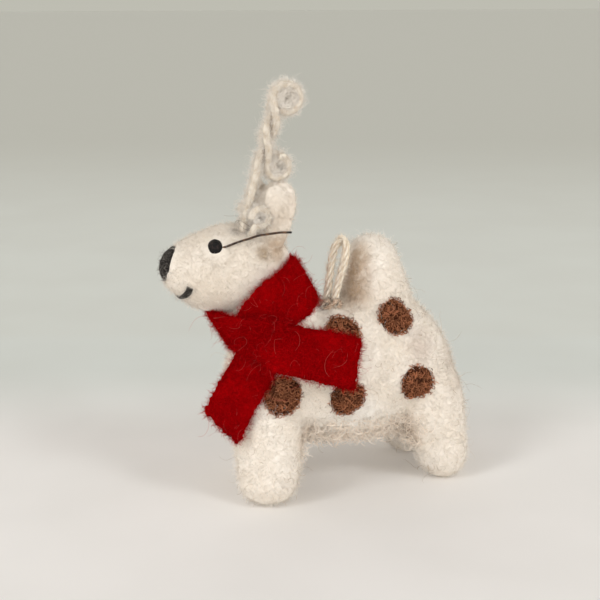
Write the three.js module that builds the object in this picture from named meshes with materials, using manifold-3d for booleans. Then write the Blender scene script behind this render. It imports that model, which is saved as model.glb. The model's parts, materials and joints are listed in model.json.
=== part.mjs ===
// A felted deer ornament that stands on four feet, with yarn-wrapped wire antlers, a red felt scarf and a
// twine loop to hang it by. Millimetres. The deer faces -X, its left side is -Y, up is +Z and its feet stand
// on Z = 0.
import * as THREE from "three";
import { mergeVertices } from "three/addons/utils/BufferGeometryUtils.js";
import Module from "manifold-3d";

const wasm = await Module();
wasm.setup();

// Clearances and helpers
const gap = 0.3; // between pieces that touch
const overrun = 6; // how far a cutter runs past what it cuts
const weld = 0.0001; // vertices closer than this are one
const footFlat = 0.5; // how deep each round foot is cut flat

// Body
const bodyLength = 69;
const bodyWidth = 32;
const bodyHeight = 41;
const bodyRise = 33; // floor to the middle of the body
// Each row of a form: how far along it lies, its half width, its half depth and how far the middle shifts
const bodyShares = [
  [0, 0, 0, 0],
  [0.05, 0.27, 0.26, 0],
  [0.12, 0.39, 0.38, 0.01],
  [0.25, 0.47, 0.45, 0.01],
  [0.42, 0.5, 0.475, 0],
  [0.6, 0.5, 0.5, 0.005],
  [0.76, 0.485, 0.49, 0],
  [0.88, 0.43, 0.39, -0.07],
  [0.96, 0.28, 0.23, -0.14],
  [1, 0, 0, -0.18],
];

// Neck
const neckLength = 37; // from deep in the body to the middle of the head
const neckDiameter = 24;
const neckLean = 30; // degrees forward of upright
const neckRootShare = -0.177; // of the body's length, from its middle
const neckShares = [
  [0, 0, 0, 0],
  [0.1, 0.4, 0.4, 0],
  [0.3, 0.54, 0.54, 0],
  [0.5, 0.5, 0.5, 0],
  [0.9, 0.42, 0.42, 0],
  [1, 0, 0, 0],
];

// Head
const headLength = 35.8;
const headWidth = 22;
const headHeight = 24;
const headTilt = 3; // degrees, nose up
const headForwardShare = 0.11; // of the head's length, from the top of the neck to the middle of the head
const headShares = [
  [0, 0, 0, 0],
  [0.08, 0.22, 0.235, -0.015],
  [0.19, 0.34, 0.345, -0.03],
  [0.344, 0.44, 0.45, -0.037],
  [0.58, 0.5, 0.5, -0.03],
  [0.78, 0.43, 0.44, -0.04],
  [0.91, 0.28, 0.28, -0.01],
  [1, 0, 0, 0],
];

// Tail
const tailLength = 31; // from inside the rump to the tip
const tailWidth = 17;
const tailDepth = 22;
const tailRootShare = 0.17; // of the body's length, from its middle
const tailRiseShare = 0.17; // of the body's height, above its middle
const tailTipShare = -0.04; // of the tail's length, how far the tip leans back
const tailShares = [
  [0, 0, 0, 0],
  [0.15, 0.46, 0.46, 0],
  [0.4, 0.5, 0.47, 0.025],
  [0.55, 0.48, 0.43, 0.055],
  [0.7, 0.44, 0.375, 0.08],
  [0.86, 0.36, 0.3, 0.09],
  [1, 0, 0, 0.08],
];

// Legs: the place of each foot is a share of the body's length and width from its middle
const frontLegLength = 33;
const frontLegWidth = 17.2;
const frontLegDepth = 18.4;
const frontFootShares = [-0.392, 0.32];
const frontTopShares = [-0.36, 0.23];
const rightFrontStepShare = 0.09; // of the body's length, how much further back the right front leg stands
const frontLegShares = [
  [0, 0, 0, 0],
  [0.05, 0.33, 0.31, 0],
  [0.15, 0.46, 0.42, 0],
  [0.35, 0.48, 0.46, 0],
  [0.6, 0.5, 0.5, 0],
  [0.85, 0.4, 0.42, 0],
  [1, 0, 0, 0],
];
const hindLegLength = 38;
const hindLegWidth = 15;
const hindLegDepth = 21;
const hindFootShares = [0.422, 0.375];
const hindTopShares = [0.29, 0.26];
const hindLegShares = [
  [0, 0, 0, 0],
  [0.04, 0.3, 0.2, 0],
  [0.12, 0.45, 0.3, 0],
  [0.3, 0.48, 0.365, 0],
  [0.55, 0.5, 0.46, 0],
  [0.8, 0.44, 0.44, 0],
  [1, 0, 0, 0],
];

// Ears: rooted in the head at shares of its length (from the nose), width and height (from its middle)
const earLength = 19;
const earWidth = 10.4;
const earThickness = 3.4;
const earRootShares = [0.71, 0.18, 0.2];
const earLeanBack = 23; // degrees
const earLeanOut = 3;
const earTurn = 32; // degrees that the flat of the ear turns to the front
const earShares = [
  [0, 0, 0, 0],
  [0.12, 0.42, 0.42, 0],
  [0.35, 0.5, 0.5, 0],
  [0.6, 0.48, 0.48, 0],
  [0.85, 0.34, 0.38, 0],
  [1, 0, 0, 0],
];
const rightSetback = 2.4; // how much further back the right ear and antler sit

// Antlers: one wrapped wire each, which rises, turns a ring, twists back down and ends in a curl
const antlerHeight = 34.8; // from the head to the middle of the ring
const antlerStrand = 1.7; // wrapped wire
const antlerStrandGap = 0.65; // between twisted strands
const antlerRootShares = [0.625, 0.17]; // of the head's length from the nose, and of its width
const antlerRingRadius = 3.7;
const antlerCurlRadius = 2.9;
const antlerRingStart = 154; // degrees from straight back, where the wire enters the ring
const antlerRingEnd = -112;
const antlerStartShare = 0.03; // of the height, where the rising strand stands clear of the head
const antlerReturnShare = 0.9; // of the height, where the returning strand meets the twist
const antlerCurlShare = 0.525; // of the height, where the returning strand leaves the twist
const antlerCurlLeadShare = 0.04; // of the height, how far above that the bend into the curl begins
const antlerCurlEnd = 450; // degrees from straight back, where the curl stops
const antlerCurlDriftShare = 0.5; // of the strand, how far the curl moves out as it turns
const antlerBackShares = [0, 0.07, 0.135, 0.2, 0.265]; // of the height, back from upright at equal steps up
const antlerStemDiameter = 0.9;
const antlerStemLength = 9;
const tineRingRadius = 2.4;
const tineRingStart = -112; // degrees from straight back
const tineRingEnd = 180;
const tineOutShare = 1.7; // of the strand, how far the tine stands outside the antler
const tineDriftShare = 0.5; // of the strand, how far it moves out as it turns
const tineRootShares = [1, 2.1]; // of the strand, how far forward and below the ring its foot lies
const tineBackShare = 0.075; // of the antler's height
const tineRiseShare = 0.115;

// Face
const eyeDiameter = 4.6;
const eyeSinkShare = 0.18; // of its diameter, how far its middle lies under the wool
const eyeAlongShare = 0.35; // of the head's length, from the nose
const eyeAngle = 47; // degrees above level
const eyeWireDiameter = 0.6;
const eyeWireLength = 20;
// Each row is a point of the wire: shares of its length back, up and out from the bead's middle
const eyeWireShares = [
  [0.06, 0.06, 0],
  [0.2, 0.13, 0.06],
  [0.42, 0.17, 0.13],
  [0.66, 0.2, 0.17],
  [0.84, 0.2, 0.2],
  [1, 0.2, 0.22],
];
const noseWidth = 6.4;
const noseHeight = 9;
const noseThickness = 0.6;
const noseAngle = 14; // degrees above level
const noseAlongShare = 0.3;
const mouthThickness = 1.8;
const mouthAlongShare = 0.15;
const mouthHalfAngle = 58; // degrees each way from straight down
const mouthStandShare = 0.05;

// Spots: each row is a place along and up the body, as shares of its length and height from its middle
const spotDiameter = 9.8;
const spotThickness = 0.9;
const spotShares = [
  [0.166, 0.382],
  [0.233, -0.054],
  [-0.08, -0.1],
  [-0.078, 0.32],
  [-0.342, -0.037],
];

// Scarf: a felt strip. Its route is in turns round the neck from the front, shares of the neck's diameter
// along the neck from the middle of the collar, the layer it lies in, and how far it stands off as a share
// of the neck's diameter
const scarfThickness = 2;
const scarfWidth = 12.5;
const scarfEdgeShare = 0.46; // of the width, from its middle to where each edge starts to round
const collarShare = 0.66; // of the neck's length, where the collar's middle lies
const collarRouteShares = [
  [0.155, -0.09, 0, 0.02],
  [0.235, 0.05, 0, 0.01],
  [0.32, 0.03, 0, 0],
  [0.41, -0.01, 0, 0],
  [0.5, -0.03, 0, 0.01],
  [0.62, 0, 0, 0],
  [0.75, 0.01, 0, 0],
  [0.88, 0.03, 0, 0],
  [1, 0.04, 0, 0.01],
  [1.065, 0.06, 0.5, 0.02],
  [1.12, 0.02, 1, 0.05],
  [1.175, -0.15, 1, 0.05],
];
const frontHingeShares = [0.1, -0.42, 0, 0.115];
const rearHingeShares = [1.225, -0.4, 1, 0.06];
const frontEndLength = 18.4;
const frontEndWidth = 12.2;
// Tips: how much further one edge runs than the other, and how far the tip lies to the side, per width
const frontTipShares = [-0.27, 0.12];
const frontEndHeading = [-0.47, -0.07, -0.88]; // the way the end runs from its fold
const frontEndFacing = [-0.6, -0.72, 0.3]; // the way its outer face looks
const rearEndLength = 19.5;
const rearEndWidth = 14;
const rearTipShares = [0, 0];
const rearEndHeading = [0.953, -0.03, -0.3];
const rearEndFacing = [0.05, -0.95, 0.3];
const endBendShare = 0.05; // of an end's length, how far its middle bows out

// Twine loop
const twineDiameter = 2.2;
const loopHeight = 17.5;
const loopWidth = 4.2;
const loopLean = 12; // degrees back, against the tail
const loopTurn = 40; // degrees round from the side view
const loopPlaceShares = [-0.075, -0.11]; // of the body's length and width, from its middle
const loopRouteShares = [
  [-0.33, 0],
  [-0.34, 0.14],
  [-0.43, 0.4],
  [-0.5, 0.66],
  [-0.42, 0.86],
  [0, 1],
  [0.42, 0.86],
  [0.5, 0.66],
  [0.43, 0.4],
  [0.34, 0.14],
  [0.33, 0],
];
const knotRadius = 2;
const knotLobeRadius = 1.05;
const knotStrand = 1;
const knotStandShare = 0.28; // of its height, how far its middle stands above the wool
const knotTurns = 2;
const knotLobes = 3;

// Counts
const bodySides = 24;
const bodyRings = 18;
const limbSides = 16;
const limbRings = 12;
const earSides = 12;
const earRings = 10;
const strandSides = 6;
const strandSteps = 60;
const beamPoints = 12;
const ringPoints = 13;
const twistPoints = 6;
const curlPoints = 10;
const mouthPoints = 9;
const faceSteps = 16; // along the mouth and the eye's wire
const loopSteps = 26;
const knotSteps = 40;
const stripSteps = 38;
const spotSides = 12;
const bendSteps = 8; // along a scarf end
const gapPoints = 400; // measured along a winding
const gapApart = 3; // diameters along a winding before a stretch counts as another

const felt = (color) => new THREE.MeshStandardMaterial({ color, roughness: 1, metalness: 0 });
const materials = {
  wool: felt(0xe4d6c8),
  spot: felt(0x6b4530),
  scarf: felt(0x86080b),
  black: felt(0x1c1816),
  yarn: felt(0xbeb4a8),
  twine: felt(0xcdbfa8),
  bead: new THREE.MeshStandardMaterial({ color: 0x120d0b, roughness: 0.15, metalness: 0 }),
  wire: new THREE.MeshStandardMaterial({ color: 0x3a2a20, roughness: 0.5, metalness: 0.6 }),
};

const vector = (x, y, z) => new THREE.Vector3(x, y, z);
const radians = THREE.MathUtils.degToRad;
const back = vector(1, 0, 0);
const acrossY = vector(0, 1, 0);
const up = vector(0, 0, 1);

// A point a distance along one direction, or several, from a start.
function from(start, ...moves) {
  const end = start.clone();
  for (const [direction, distance] of moves) end.addScaledVector(direction, distance);
  return end;
}

// A geometry of shared corners that holds only position.
function geometryOf(points, triangles) {
  const geometry = new THREE.BufferGeometry().setFromPoints(points);
  geometry.setIndex(triangles);
  return geometry;
}

// Joins rings of points into one closed skin. Each ring runs round the axis by the right-hand rule.
function skin(start, rings, end) {
  const sides = rings[0].length;
  const points = [start, ...rings.flat(), end];
  const at = (ring, side) => 1 + ring * sides + (side % sides);
  const triangles = [];
  for (let side = 0; side < sides; side++) {
    triangles.push(0, at(0, side + 1), at(0, side));
    for (let ring = 0; ring < rings.length - 1; ring++) {
      triangles.push(at(ring, side), at(ring, side + 1), at(ring + 1, side + 1));
      triangles.push(at(ring, side), at(ring + 1, side + 1), at(ring + 1, side));
    }
    triangles.push(points.length - 1, at(rings.length - 1, side), at(rings.length - 1, side + 1));
  }
  return geometryOf(points, triangles);
}

// A felted form: an oval section that swells and tapers along an axis, round at both ends.
function feltForm(form) {
  const { start, end, side = acrossY, width, depth, shares, sides = limbSides, rings = limbRings } = form;
  const axis = end.clone().sub(start);
  const deep = axis.clone().cross(side).normalize();
  const wide = deep.clone().cross(axis).normalize();
  const roundPlace = (along) => Math.acos(1 - 2 * along) / Math.PI;
  const places = shares.map(([along]) => roundPlace(along));
  const sizes = shares.flatMap(([, ...columns]) => columns);
  const columnCount = sizes.length / places.length;
  const profile = new THREE.CubicInterpolant(places, sizes, columnCount, new Array(columnCount));
  const middleAt = (place, shift) => {
    const along = (1 - Math.cos(Math.PI * place)) / 2;
    return from(start, [axis, along], [deep, shift * depth]);
  };
  const ringAt = (place) => {
    const [halfWide, halfDeep, shift] = profile.evaluate(place);
    const middle = middleAt(place, shift);
    return Array.from({ length: sides }, (_, i) => {
      const angle = (2 * Math.PI * i) / sides;
      const across = Math.cos(angle) * halfWide * width;
      return from(middle, [wide, across], [deep, Math.sin(angle) * halfDeep * depth]);
    });
  };
  const ringList = Array.from({ length: rings - 1 }, (_, i) => ringAt((i + 1) / rings));
  const poleAt = ([along, , , shift]) => middleAt(roundPlace(along), shift);
  return skin(poleAt(shares[0]), ringList, poleAt(shares[shares.length - 1]));
}

// A geometry of only positions, with its shared corners merged.
function merged(geometry) {
  const bare = geometry.clone();
  bare.deleteAttribute("normal");
  bare.deleteAttribute("uv");
  return mergeVertices(bare, weld);
}

// The same form let out evenly, for the clearance that its neighbours keep.
function grown(geometry, distance) {
  const larger = merged(geometry);
  larger.computeVertexNormals();
  const position = larger.attributes.position;
  const normal = larger.attributes.normal;
  for (let i = 0; i < position.count; i++) {
    position.setXYZ(
      i,
      position.getX(i) + normal.getX(i) * distance,
      position.getY(i) + normal.getY(i) * distance,
      position.getZ(i) + normal.getZ(i) * distance,
    );
  }
  larger.deleteAttribute("normal");
  return larger;
}

// Solids, which join and cut
function solidOf(geometry) {
  const bare = merged(geometry);
  const vertProperties = new Float32Array(bare.attributes.position.array);
  const triVerts = new Uint32Array(bare.index.array);
  return new wasm.Manifold(new wasm.Mesh({ numProp: 3, vertProperties, triVerts }));
}

const joined = (solids) => solids.reduce((sum, solid) => sum.add(solid));
const grownSolid = (geometries, distance) =>
  joined(geometries.map((geometry) => solidOf(grown(geometry, distance))));

function meshOf(name, solid, material) {
  const { vertProperties, triVerts, numProp } = solid.getMesh();
  const geometry = new THREE.BufferGeometry();
  geometry.setAttribute("position", new THREE.BufferAttribute(vertProperties, numProp));
  geometry.setIndex(new THREE.BufferAttribute(triVerts, 1));
  geometry.computeVertexNormals();
  const mesh = new THREE.Mesh(geometry, material);
  mesh.name = name;
  return mesh;
}

// A round bar between two points.
function bar(start, end, diameter, sides = limbSides) {
  const axis = end.clone().sub(start);
  const geometry = new THREE.CylinderGeometry(diameter / 2, diameter / 2, axis.length(), sides);
  geometry.applyQuaternion(new THREE.Quaternion().setFromUnitVectors(acrossY, axis.clone().normalize()));
  const middle = from(start, [axis, 0.5]);
  return geometry.translate(middle.x, middle.y, middle.z);
}

// A round tube along a curve.
function tube(curve, diameter, sides, steps) {
  const section = new THREE.Shape();
  for (let i = 0; i < sides; i++) {
    const angle = (2 * Math.PI * i) / sides;
    const point = [(Math.cos(angle) * diameter) / 2, (Math.sin(angle) * diameter) / 2];
    if (i === 0) section.moveTo(...point);
    else section.lineTo(...point);
  }
  section.closePath();
  return new THREE.ExtrudeGeometry(section, { steps, extrudePath: curve, bevelEnabled: false });
}

// The least gap between stretches of one tube that lie apart along it, measured on points and printed.
function printLeastGap(name, curve, diameter, closed = false) {
  const points = curve.getSpacedPoints(gapPoints);
  const apart = Math.ceil((gapPoints * gapApart * diameter) / curve.getLength());
  let least = Infinity;
  for (let i = 0; i <= gapPoints; i++) {
    const last = closed ? Math.min(gapPoints, i + gapPoints - apart) : gapPoints;
    for (let j = i + apart; j <= last; j++) least = Math.min(least, points[i].distanceTo(points[j]));
  }
  console.log(name + ": least gap to itself " + (least - diameter).toFixed(2) + " mm");
}

// Where a line from outside, towards a middle point, meets the skin.
function surfacePoint(geometries, middle, direction) {
  const outside = from(middle, [direction, bodyLength]);
  const caster = new THREE.Raycaster(outside, direction.clone().negate());
  const skins = geometries.map((geometry) => new THREE.Mesh(geometry, materials.wool));
  const hits = caster.intersectObjects(skins);
  return { point: hits[0].point, normal: hits[0].face.normal };
}

// The felted forms, largest first
const bodyForm = feltForm({
  start: vector(-bodyLength / 2, 0, bodyRise),
  end: vector(bodyLength / 2, 0, bodyRise),
  width: bodyWidth,
  depth: bodyHeight,
  shares: bodyShares,
  sides: bodySides,
  rings: bodyRings,
});

const neckAxis = vector(-Math.sin(radians(neckLean)), 0, Math.cos(radians(neckLean)));
const neckFront = neckAxis.clone().cross(acrossY);
const neckRoot = vector(neckRootShare * bodyLength, 0, bodyRise);
const neckTop = from(neckRoot, [neckAxis, neckLength]);
const neckForm = feltForm({
  start: neckRoot,
  end: neckTop,
  width: neckDiameter,
  depth: neckDiameter,
  shares: neckShares,
  sides: bodySides,
});

const headBack = vector(Math.cos(radians(headTilt)), 0, -Math.sin(radians(headTilt)));
const headUp = headBack.clone().cross(acrossY);
const headMiddle = from(neckTop, [headBack, -headForwardShare * headLength]);
const headAt = (alongShare) => from(headMiddle, [headBack, (alongShare - 0.5) * headLength]);
const headForm = feltForm({
  start: headAt(0),
  end: headAt(1),
  width: headWidth,
  depth: headHeight,
  shares: headShares,
  sides: bodySides,
  rings: bodyRings,
});

const tailRoot = vector(tailRootShare * bodyLength, 0, bodyRise + tailRiseShare * bodyHeight);
const tailForm = feltForm({
  start: tailRoot,
  end: from(tailRoot, [up, tailLength], [back, tailTipShare * tailLength]),
  width: tailWidth,
  depth: tailDepth,
  shares: tailShares,
});

// A leg from its foot, a little below the floor, to its top inside the body. Side is -1 on the left.
function legForm(side, footShares, topShares, length, width, depth, shares) {
  const place = ([along, out], z) => vector(along * bodyLength, side * out * bodyWidth, z);
  return feltForm({
    start: place(footShares, -footFlat),
    end: place(topShares, length - footFlat),
    width,
    depth,
    shares,
  });
}

// The right front leg stands a step further back than the left one.
function frontLegForm(side) {
  const step = side > 0 ? rightFrontStepShare : 0;
  const [foot, top] = [frontFootShares, frontTopShares].map(([along, out]) => [along + step, out]);
  return legForm(side, foot, top, frontLegLength, frontLegWidth, frontLegDepth, frontLegShares);
}
const hindLegForm = (side) =>
  legForm(side, hindFootShares, hindTopShares, hindLegLength, hindLegWidth, hindLegDepth, hindLegShares);
const sides = { left: -1, right: 1 };

const legForms = Object.fromEntries(
  Object.entries(sides).flatMap(([name, side]) => [
    [name + "_front_leg", frontLegForm(side)],
    [name + "_hind_leg", hindLegForm(side)],
  ]),
);

// The floor, as a cutter below Z = 0
function floorCutter() {
  const reach = bodyLength + overrun;
  return solidOf(new THREE.BoxGeometry(2 * reach, 2 * reach, reach).translate(0, 0, -reach / 2));
}
const floor = floorCutter();

const ornament = new THREE.Group();
const add = (name, solid, material) => ornament.add(meshOf(name, solid, material));

const bodyCut = grownSolid([bodyForm], gap);
const headCut = grownSolid([headForm], gap);
const sideForms = (side) => [legForms[side + "_front_leg"], legForms[side + "_hind_leg"]];

function addLegs() {
  for (const [name, form] of Object.entries(legForms)) {
    const others = Object.entries(legForms).filter(([other]) => other > name).map(([, other]) => other);
    const cut = others.length ? bodyCut.add(grownSolid(others, gap)) : bodyCut;
    add(name, solidOf(form).subtract(cut).subtract(floor), materials.wool);
  }
}

function addNeckAndTail() {
  add("neck", solidOf(neckForm).subtract(bodyCut).subtract(headCut), materials.wool);
  add("tail", solidOf(tailForm).subtract(bodyCut), materials.wool);
}

// Ears
function earForm(side) {
  const setback = side > 0 ? rightSetback : 0;
  const [along, out, rise] = earRootShares;
  const middle = from(headAt(along), [headBack, setback]);
  const root = from(middle, [acrossY, side * out * headWidth], [headUp, rise * headHeight]);
  const lean = vector(Math.tan(radians(earLeanBack)), side * Math.tan(radians(earLeanOut)), 1).normalize();
  return feltForm({
    start: root,
    end: from(root, [lean, earLength]),
    side: vector(Math.cos(radians(earTurn)), side * Math.sin(radians(earTurn)), 0),
    width: earWidth,
    depth: earThickness,
    shares: earShares,
    sides: earSides,
    rings: earRings,
  });
}

// Antlers
const antlerTwist = (antlerStrand + antlerStrandGap) / 2; // from the middle of the twist to each strand

function antlerFoot(side) {
  const [along, out] = antlerRootShares;
  const setback = side > 0 ? rightSetback : 0;
  const middle = from(headAt(along), [acrossY, side * out * headWidth], [headBack, setback]);
  return surfacePoint([headForm], middle, up).point;
}

const evenly = (count, start, end) =>
  Array.from({ length: count }, (_, i) => start + ((end - start) * i) / (count - 1));

// The wire's route, in back, up and out of the antler's foot.
function antlerCurve(side) {
  const foot = antlerFoot(side);
  const out = vector(0, side, 0);
  const place = (u, v, w) => from(foot, [back, u], [up, v], [out, w]);
  const rises = evenly(antlerBackShares.length, 0, antlerHeight);
  const stations = rises.map((rise, i) => vector(antlerBackShares[i] * antlerHeight, rise, 0));
  const beam = new THREE.CatmullRomCurve3(stations);
  const turned = (t) => Math.max(0, (t - antlerCurlShare) / (1 - antlerCurlShare));
  const strand = (t, phase) => {
    const angle = phase + 2 * Math.PI * turned(t);
    const middle = beam.getPoint(t);
    return place(middle.x + Math.cos(angle) * antlerTwist, middle.y, Math.sin(angle) * antlerTwist);
  };
  const arc = (u, v, radius, angles, drift) =>
    angles.map((angle, i) => {
      const reach = [Math.cos(radians(angle)) * radius, Math.sin(radians(angle)) * radius];
      return place(u + reach[0], v + reach[1], (drift * i) / (angles.length - 1));
    });
  const tip = beam.getPoint(1);
  const curlFoot = beam.getPoint(antlerCurlShare);
  const ringAngles = evenly(ringPoints, antlerRingStart, antlerRingEnd);
  const curlAngles = evenly(curlPoints, 180, antlerCurlEnd);
  const curlBack = curlFoot.x + antlerTwist + antlerCurlRadius;
  const curlRise = curlFoot.y - antlerCurlRadius / 2;
  return new THREE.CatmullRomCurve3([
    place(-antlerTwist, -antlerStrand, 0),
    ...evenly(beamPoints, antlerStartShare, 1).map((t) => strand(t, Math.PI)),
    ...arc(tip.x - antlerTwist + antlerRingRadius, tip.y, antlerRingRadius, ringAngles, 0),
    ...evenly(twistPoints, antlerReturnShare, antlerCurlShare + antlerCurlLeadShare).map((t) => strand(t, 0)),
    ...arc(curlBack, curlRise, antlerCurlRadius, curlAngles, antlerCurlDriftShare * antlerStrand),
  ]);
}

function tineCurve(side) {
  const foot = antlerFoot(side);
  const middle = from(foot, [back, tineBackShare * antlerHeight], [up, tineRiseShare * antlerHeight]);
  const points = evenly(ringPoints, tineRingStart, tineRingEnd).map((angle, i) => {
    const out = (tineOutShare + (tineDriftShare * i) / (ringPoints - 1)) * antlerStrand;
    const along = Math.cos(radians(angle)) * tineRingRadius;
    const rise = Math.sin(radians(angle)) * tineRingRadius;
    return from(middle, [back, along], [up, rise], [acrossY, side * out]);
  });
  const [forward, below] = tineRootShares;
  points.unshift(from(points[0], [back, -forward * antlerStrand], [up, -below * antlerStrand]));
  return new THREE.CatmullRomCurve3(points);
}

function addHeadPieces() {
  let head = solidOf(headForm);
  for (const [name, side] of Object.entries(sides)) {
    const ear = solidOf(earForm(side)).subtract(headCut);
    const beam = antlerCurve(side);
    const tine = tineCurve(side);
    printLeastGap(name + "_antler", beam, antlerStrand);
    printLeastGap(name + "_antler_tine", tine, antlerStrand);
    const antler = solidOf(tube(beam, antlerStrand, strandSides, strandSteps)).subtract(headCut);
    const antlerTine = solidOf(tube(tine, antlerStrand, strandSides, strandSteps / 2)).subtract(headCut);
    add(name + "_ear", ear, materials.wool);
    add(name + "_antler", antler, materials.yarn);
    add(name + "_antler_tine", antlerTine, materials.yarn);
    const stemTop = from(antlerFoot(side), [back, -antlerTwist], [up, -gap]);
    const stemFoot = from(stemTop, [up, -antlerStemLength]);
    const socketFoot = from(stemFoot, [up, -gap]);
    const socket = bar(socketFoot, from(stemTop, [up, overrun]), antlerStemDiameter + 2 * gap);
    head = head.subtract(solidOf(socket));
    add(name + "_antler_stem", solidOf(bar(stemFoot, stemTop, antlerStemDiameter)), materials.wire);
  }
  add("head", head, materials.wool);
}

// A felt patch that follows the wool under it, round or oval.
function patch(forms, middle, direction, width, height, thickness) {
  const { point, normal } = surfacePoint(forms, middle, direction);
  const cutter = new THREE.CylinderGeometry(width / 2, width / 2, 2 * overrun, spotSides);
  cutter.scale(height / width, 1, 1);
  cutter.applyQuaternion(new THREE.Quaternion().setFromUnitVectors(acrossY, normal));
  cutter.translate(point.x, point.y, point.z);
  const disc = solidOf(cutter);
  const outer = grownSolid(forms, gap + thickness);
  const inner = grownSolid(forms, gap);
  return disc.intersect(outer).subtract(inner);
}

function mouthCurve() {
  const points = evenly(mouthPoints, -mouthHalfAngle, mouthHalfAngle).map((angle) => {
    const direction = vector(0, Math.sin(radians(angle)), -Math.cos(radians(angle)));
    const { point } = surfacePoint([headForm], headAt(mouthAlongShare), direction);
    return from(point, [direction, mouthStandShare * mouthThickness]);
  });
  return new THREE.CatmullRomCurve3(points);
}

function beadForm(side) {
  const direction = vector(0, side * Math.cos(radians(eyeAngle)), Math.sin(radians(eyeAngle)));
  const { point, normal } = surfacePoint([headForm], headAt(eyeAlongShare), direction);
  const middle = from(point, [normal, -eyeSinkShare * eyeDiameter]);
  const bead = new THREE.SphereGeometry(eyeDiameter / 2, limbSides, limbRings);
  return { bead: bead.translate(middle.x, middle.y, middle.z), middle };
}

function addFace() {
  const noseDirection = vector(-Math.cos(radians(noseAngle)), 0, Math.sin(radians(noseAngle)));
  const nose = patch([headForm], headAt(noseAlongShare), noseDirection, noseWidth, noseHeight, noseThickness);
  add("nose", nose, materials.black);
  const mouth = solidOf(tube(mouthCurve(), mouthThickness, strandSides, faceSteps));
  add("mouth", mouth.subtract(headCut), materials.black);
  for (const [name, side] of Object.entries(sides)) {
    add(name + "_eye", solidOf(beadForm(side).bead).subtract(headCut), materials.bead);
  }
  const { bead, middle } = beadForm(sides.left);
  const route = eyeWireShares.map((row) => {
    const [behind, rise, out] = row.map((share) => share * eyeWireLength);
    return from(middle, [back, behind], [up, rise], [acrossY, sides.left * out]);
  });
  const wire = solidOf(tube(new THREE.CatmullRomCurve3(route), eyeWireDiameter, strandSides, faceSteps));
  add("left_eye_wire", wire.subtract(grownSolid([bead], gap)).subtract(headCut), materials.wire);
}

function addSpots() {
  for (const [name, side] of Object.entries(sides)) {
    const forms = [bodyForm, tailForm, ...sideForms(name)];
    spotShares.forEach(([along, rise], i) => {
      const middle = vector(along * bodyLength, 0, bodyRise + rise * bodyHeight);
      const spot = patch(forms, middle, vector(0, side, 0), spotDiameter, spotDiameter, spotThickness);
      add(name + "_spot_" + (i + 1), spot, materials.spot);
    });
  }
}

// Scarf
const collarMiddle = from(neckRoot, [neckAxis, collarShare * neckLength]);
const sideways = neckAxis.clone().cross(neckFront);

// A flat strip along a route, whose flat faces the given way at each point.
function strip(route, outward, width, thickness, steps) {
  const curve = new THREE.CatmullRomCurve3(route);
  const facing = new THREE.CatmullRomCurve3(outward);
  const ringAt = (t) => {
    const middle = curve.getPoint(t);
    const along = curve.getTangent(t);
    const out = facing.getPoint(t);
    const across = out.clone().cross(along).normalize();
    out.copy(along).cross(across).normalize();
    const corner = (w, h) => from(middle, [across, w * width], [out, (h * thickness) / 2]);
    const flat = [1, 0.5, 0, -0.5, -1].map((share) => share * scarfEdgeShare);
    const outer = flat.map((place) => corner(place, 1));
    const inner = flat.map((place) => corner(-place, -1));
    return [corner(0.5, 0), ...outer, corner(-0.5, 0), ...inner];
  };
  const rings = Array.from({ length: steps + 1 }, (_, i) => ringAt(i / steps));
  return skin(route[0], rings, route[route.length - 1]);
}

// A place round the neck from a row of shares, and the way straight out of the neck there.
function neckPlace([turn, along, layer, stand]) {
  const angle = 2 * Math.PI * turn;
  const radial = from(vector(0, 0, 0), [neckFront, Math.cos(angle)], [sideways, Math.sin(angle)]);
  const base = neckDiameter / 2 + gap + scarfThickness / 2;
  const distance = base + layer * (scarfThickness + gap) + stand * neckDiameter;
  return { point: from(collarMiddle, [neckAxis, along * neckDiameter], [radial, distance]), radial };
}

// A free end of the scarf: it turns about the line across its root, which is round about that line.
function scarfEnd(hinge, length, width, [slantShare, leanShare]) {
  const half = scarfThickness / 2;
  const bow = endBendShare * length;
  const outline = new THREE.Shape();
  outline.absarc(0, 0, half, Math.PI / 2, 1.5 * Math.PI);
  outline.quadraticCurveTo(length / 2, 2 * bow - half, length, -half);
  outline.lineTo(length, half);
  outline.quadraticCurveTo(length / 2, 2 * bow + half, 0, half);
  const settings = { depth: width, bevelEnabled: false, curveSegments: bendSteps };
  const end = new THREE.ExtrudeGeometry(outline, settings);
  end.translate(0, 0, -width / 2);
  const corners = end.getAttribute("position");
  for (let i = 0; i < corners.count; i += 1) {
    const share = Math.max(corners.getX(i) / length, 0);
    const across = corners.getZ(i);
    corners.setX(i, corners.getX(i) + share * slantShare * across);
    corners.setZ(i, across + share * leanShare * width);
  }
  const basis = new THREE.Matrix4().makeBasis(hinge.heading, hinge.facing, hinge.axis);
  return end.applyMatrix4(basis.setPosition(hinge.point));
}

// The line that an end of the scarf turns about. Turning by the right-hand rule about it lifts the end.
function hingeOf(shares, heading, facing) {
  const { point } = neckPlace(shares);
  const along = vector(...heading).normalize();
  const axis = along.clone().cross(vector(...facing)).normalize();
  return { point, heading: along, facing: axis.clone().cross(along), axis };
}

const frontHinge = hingeOf(frontHingeShares, frontEndHeading, frontEndFacing);
const rearHinge = hingeOf(rearHingeShares, rearEndHeading, rearEndFacing);

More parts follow.
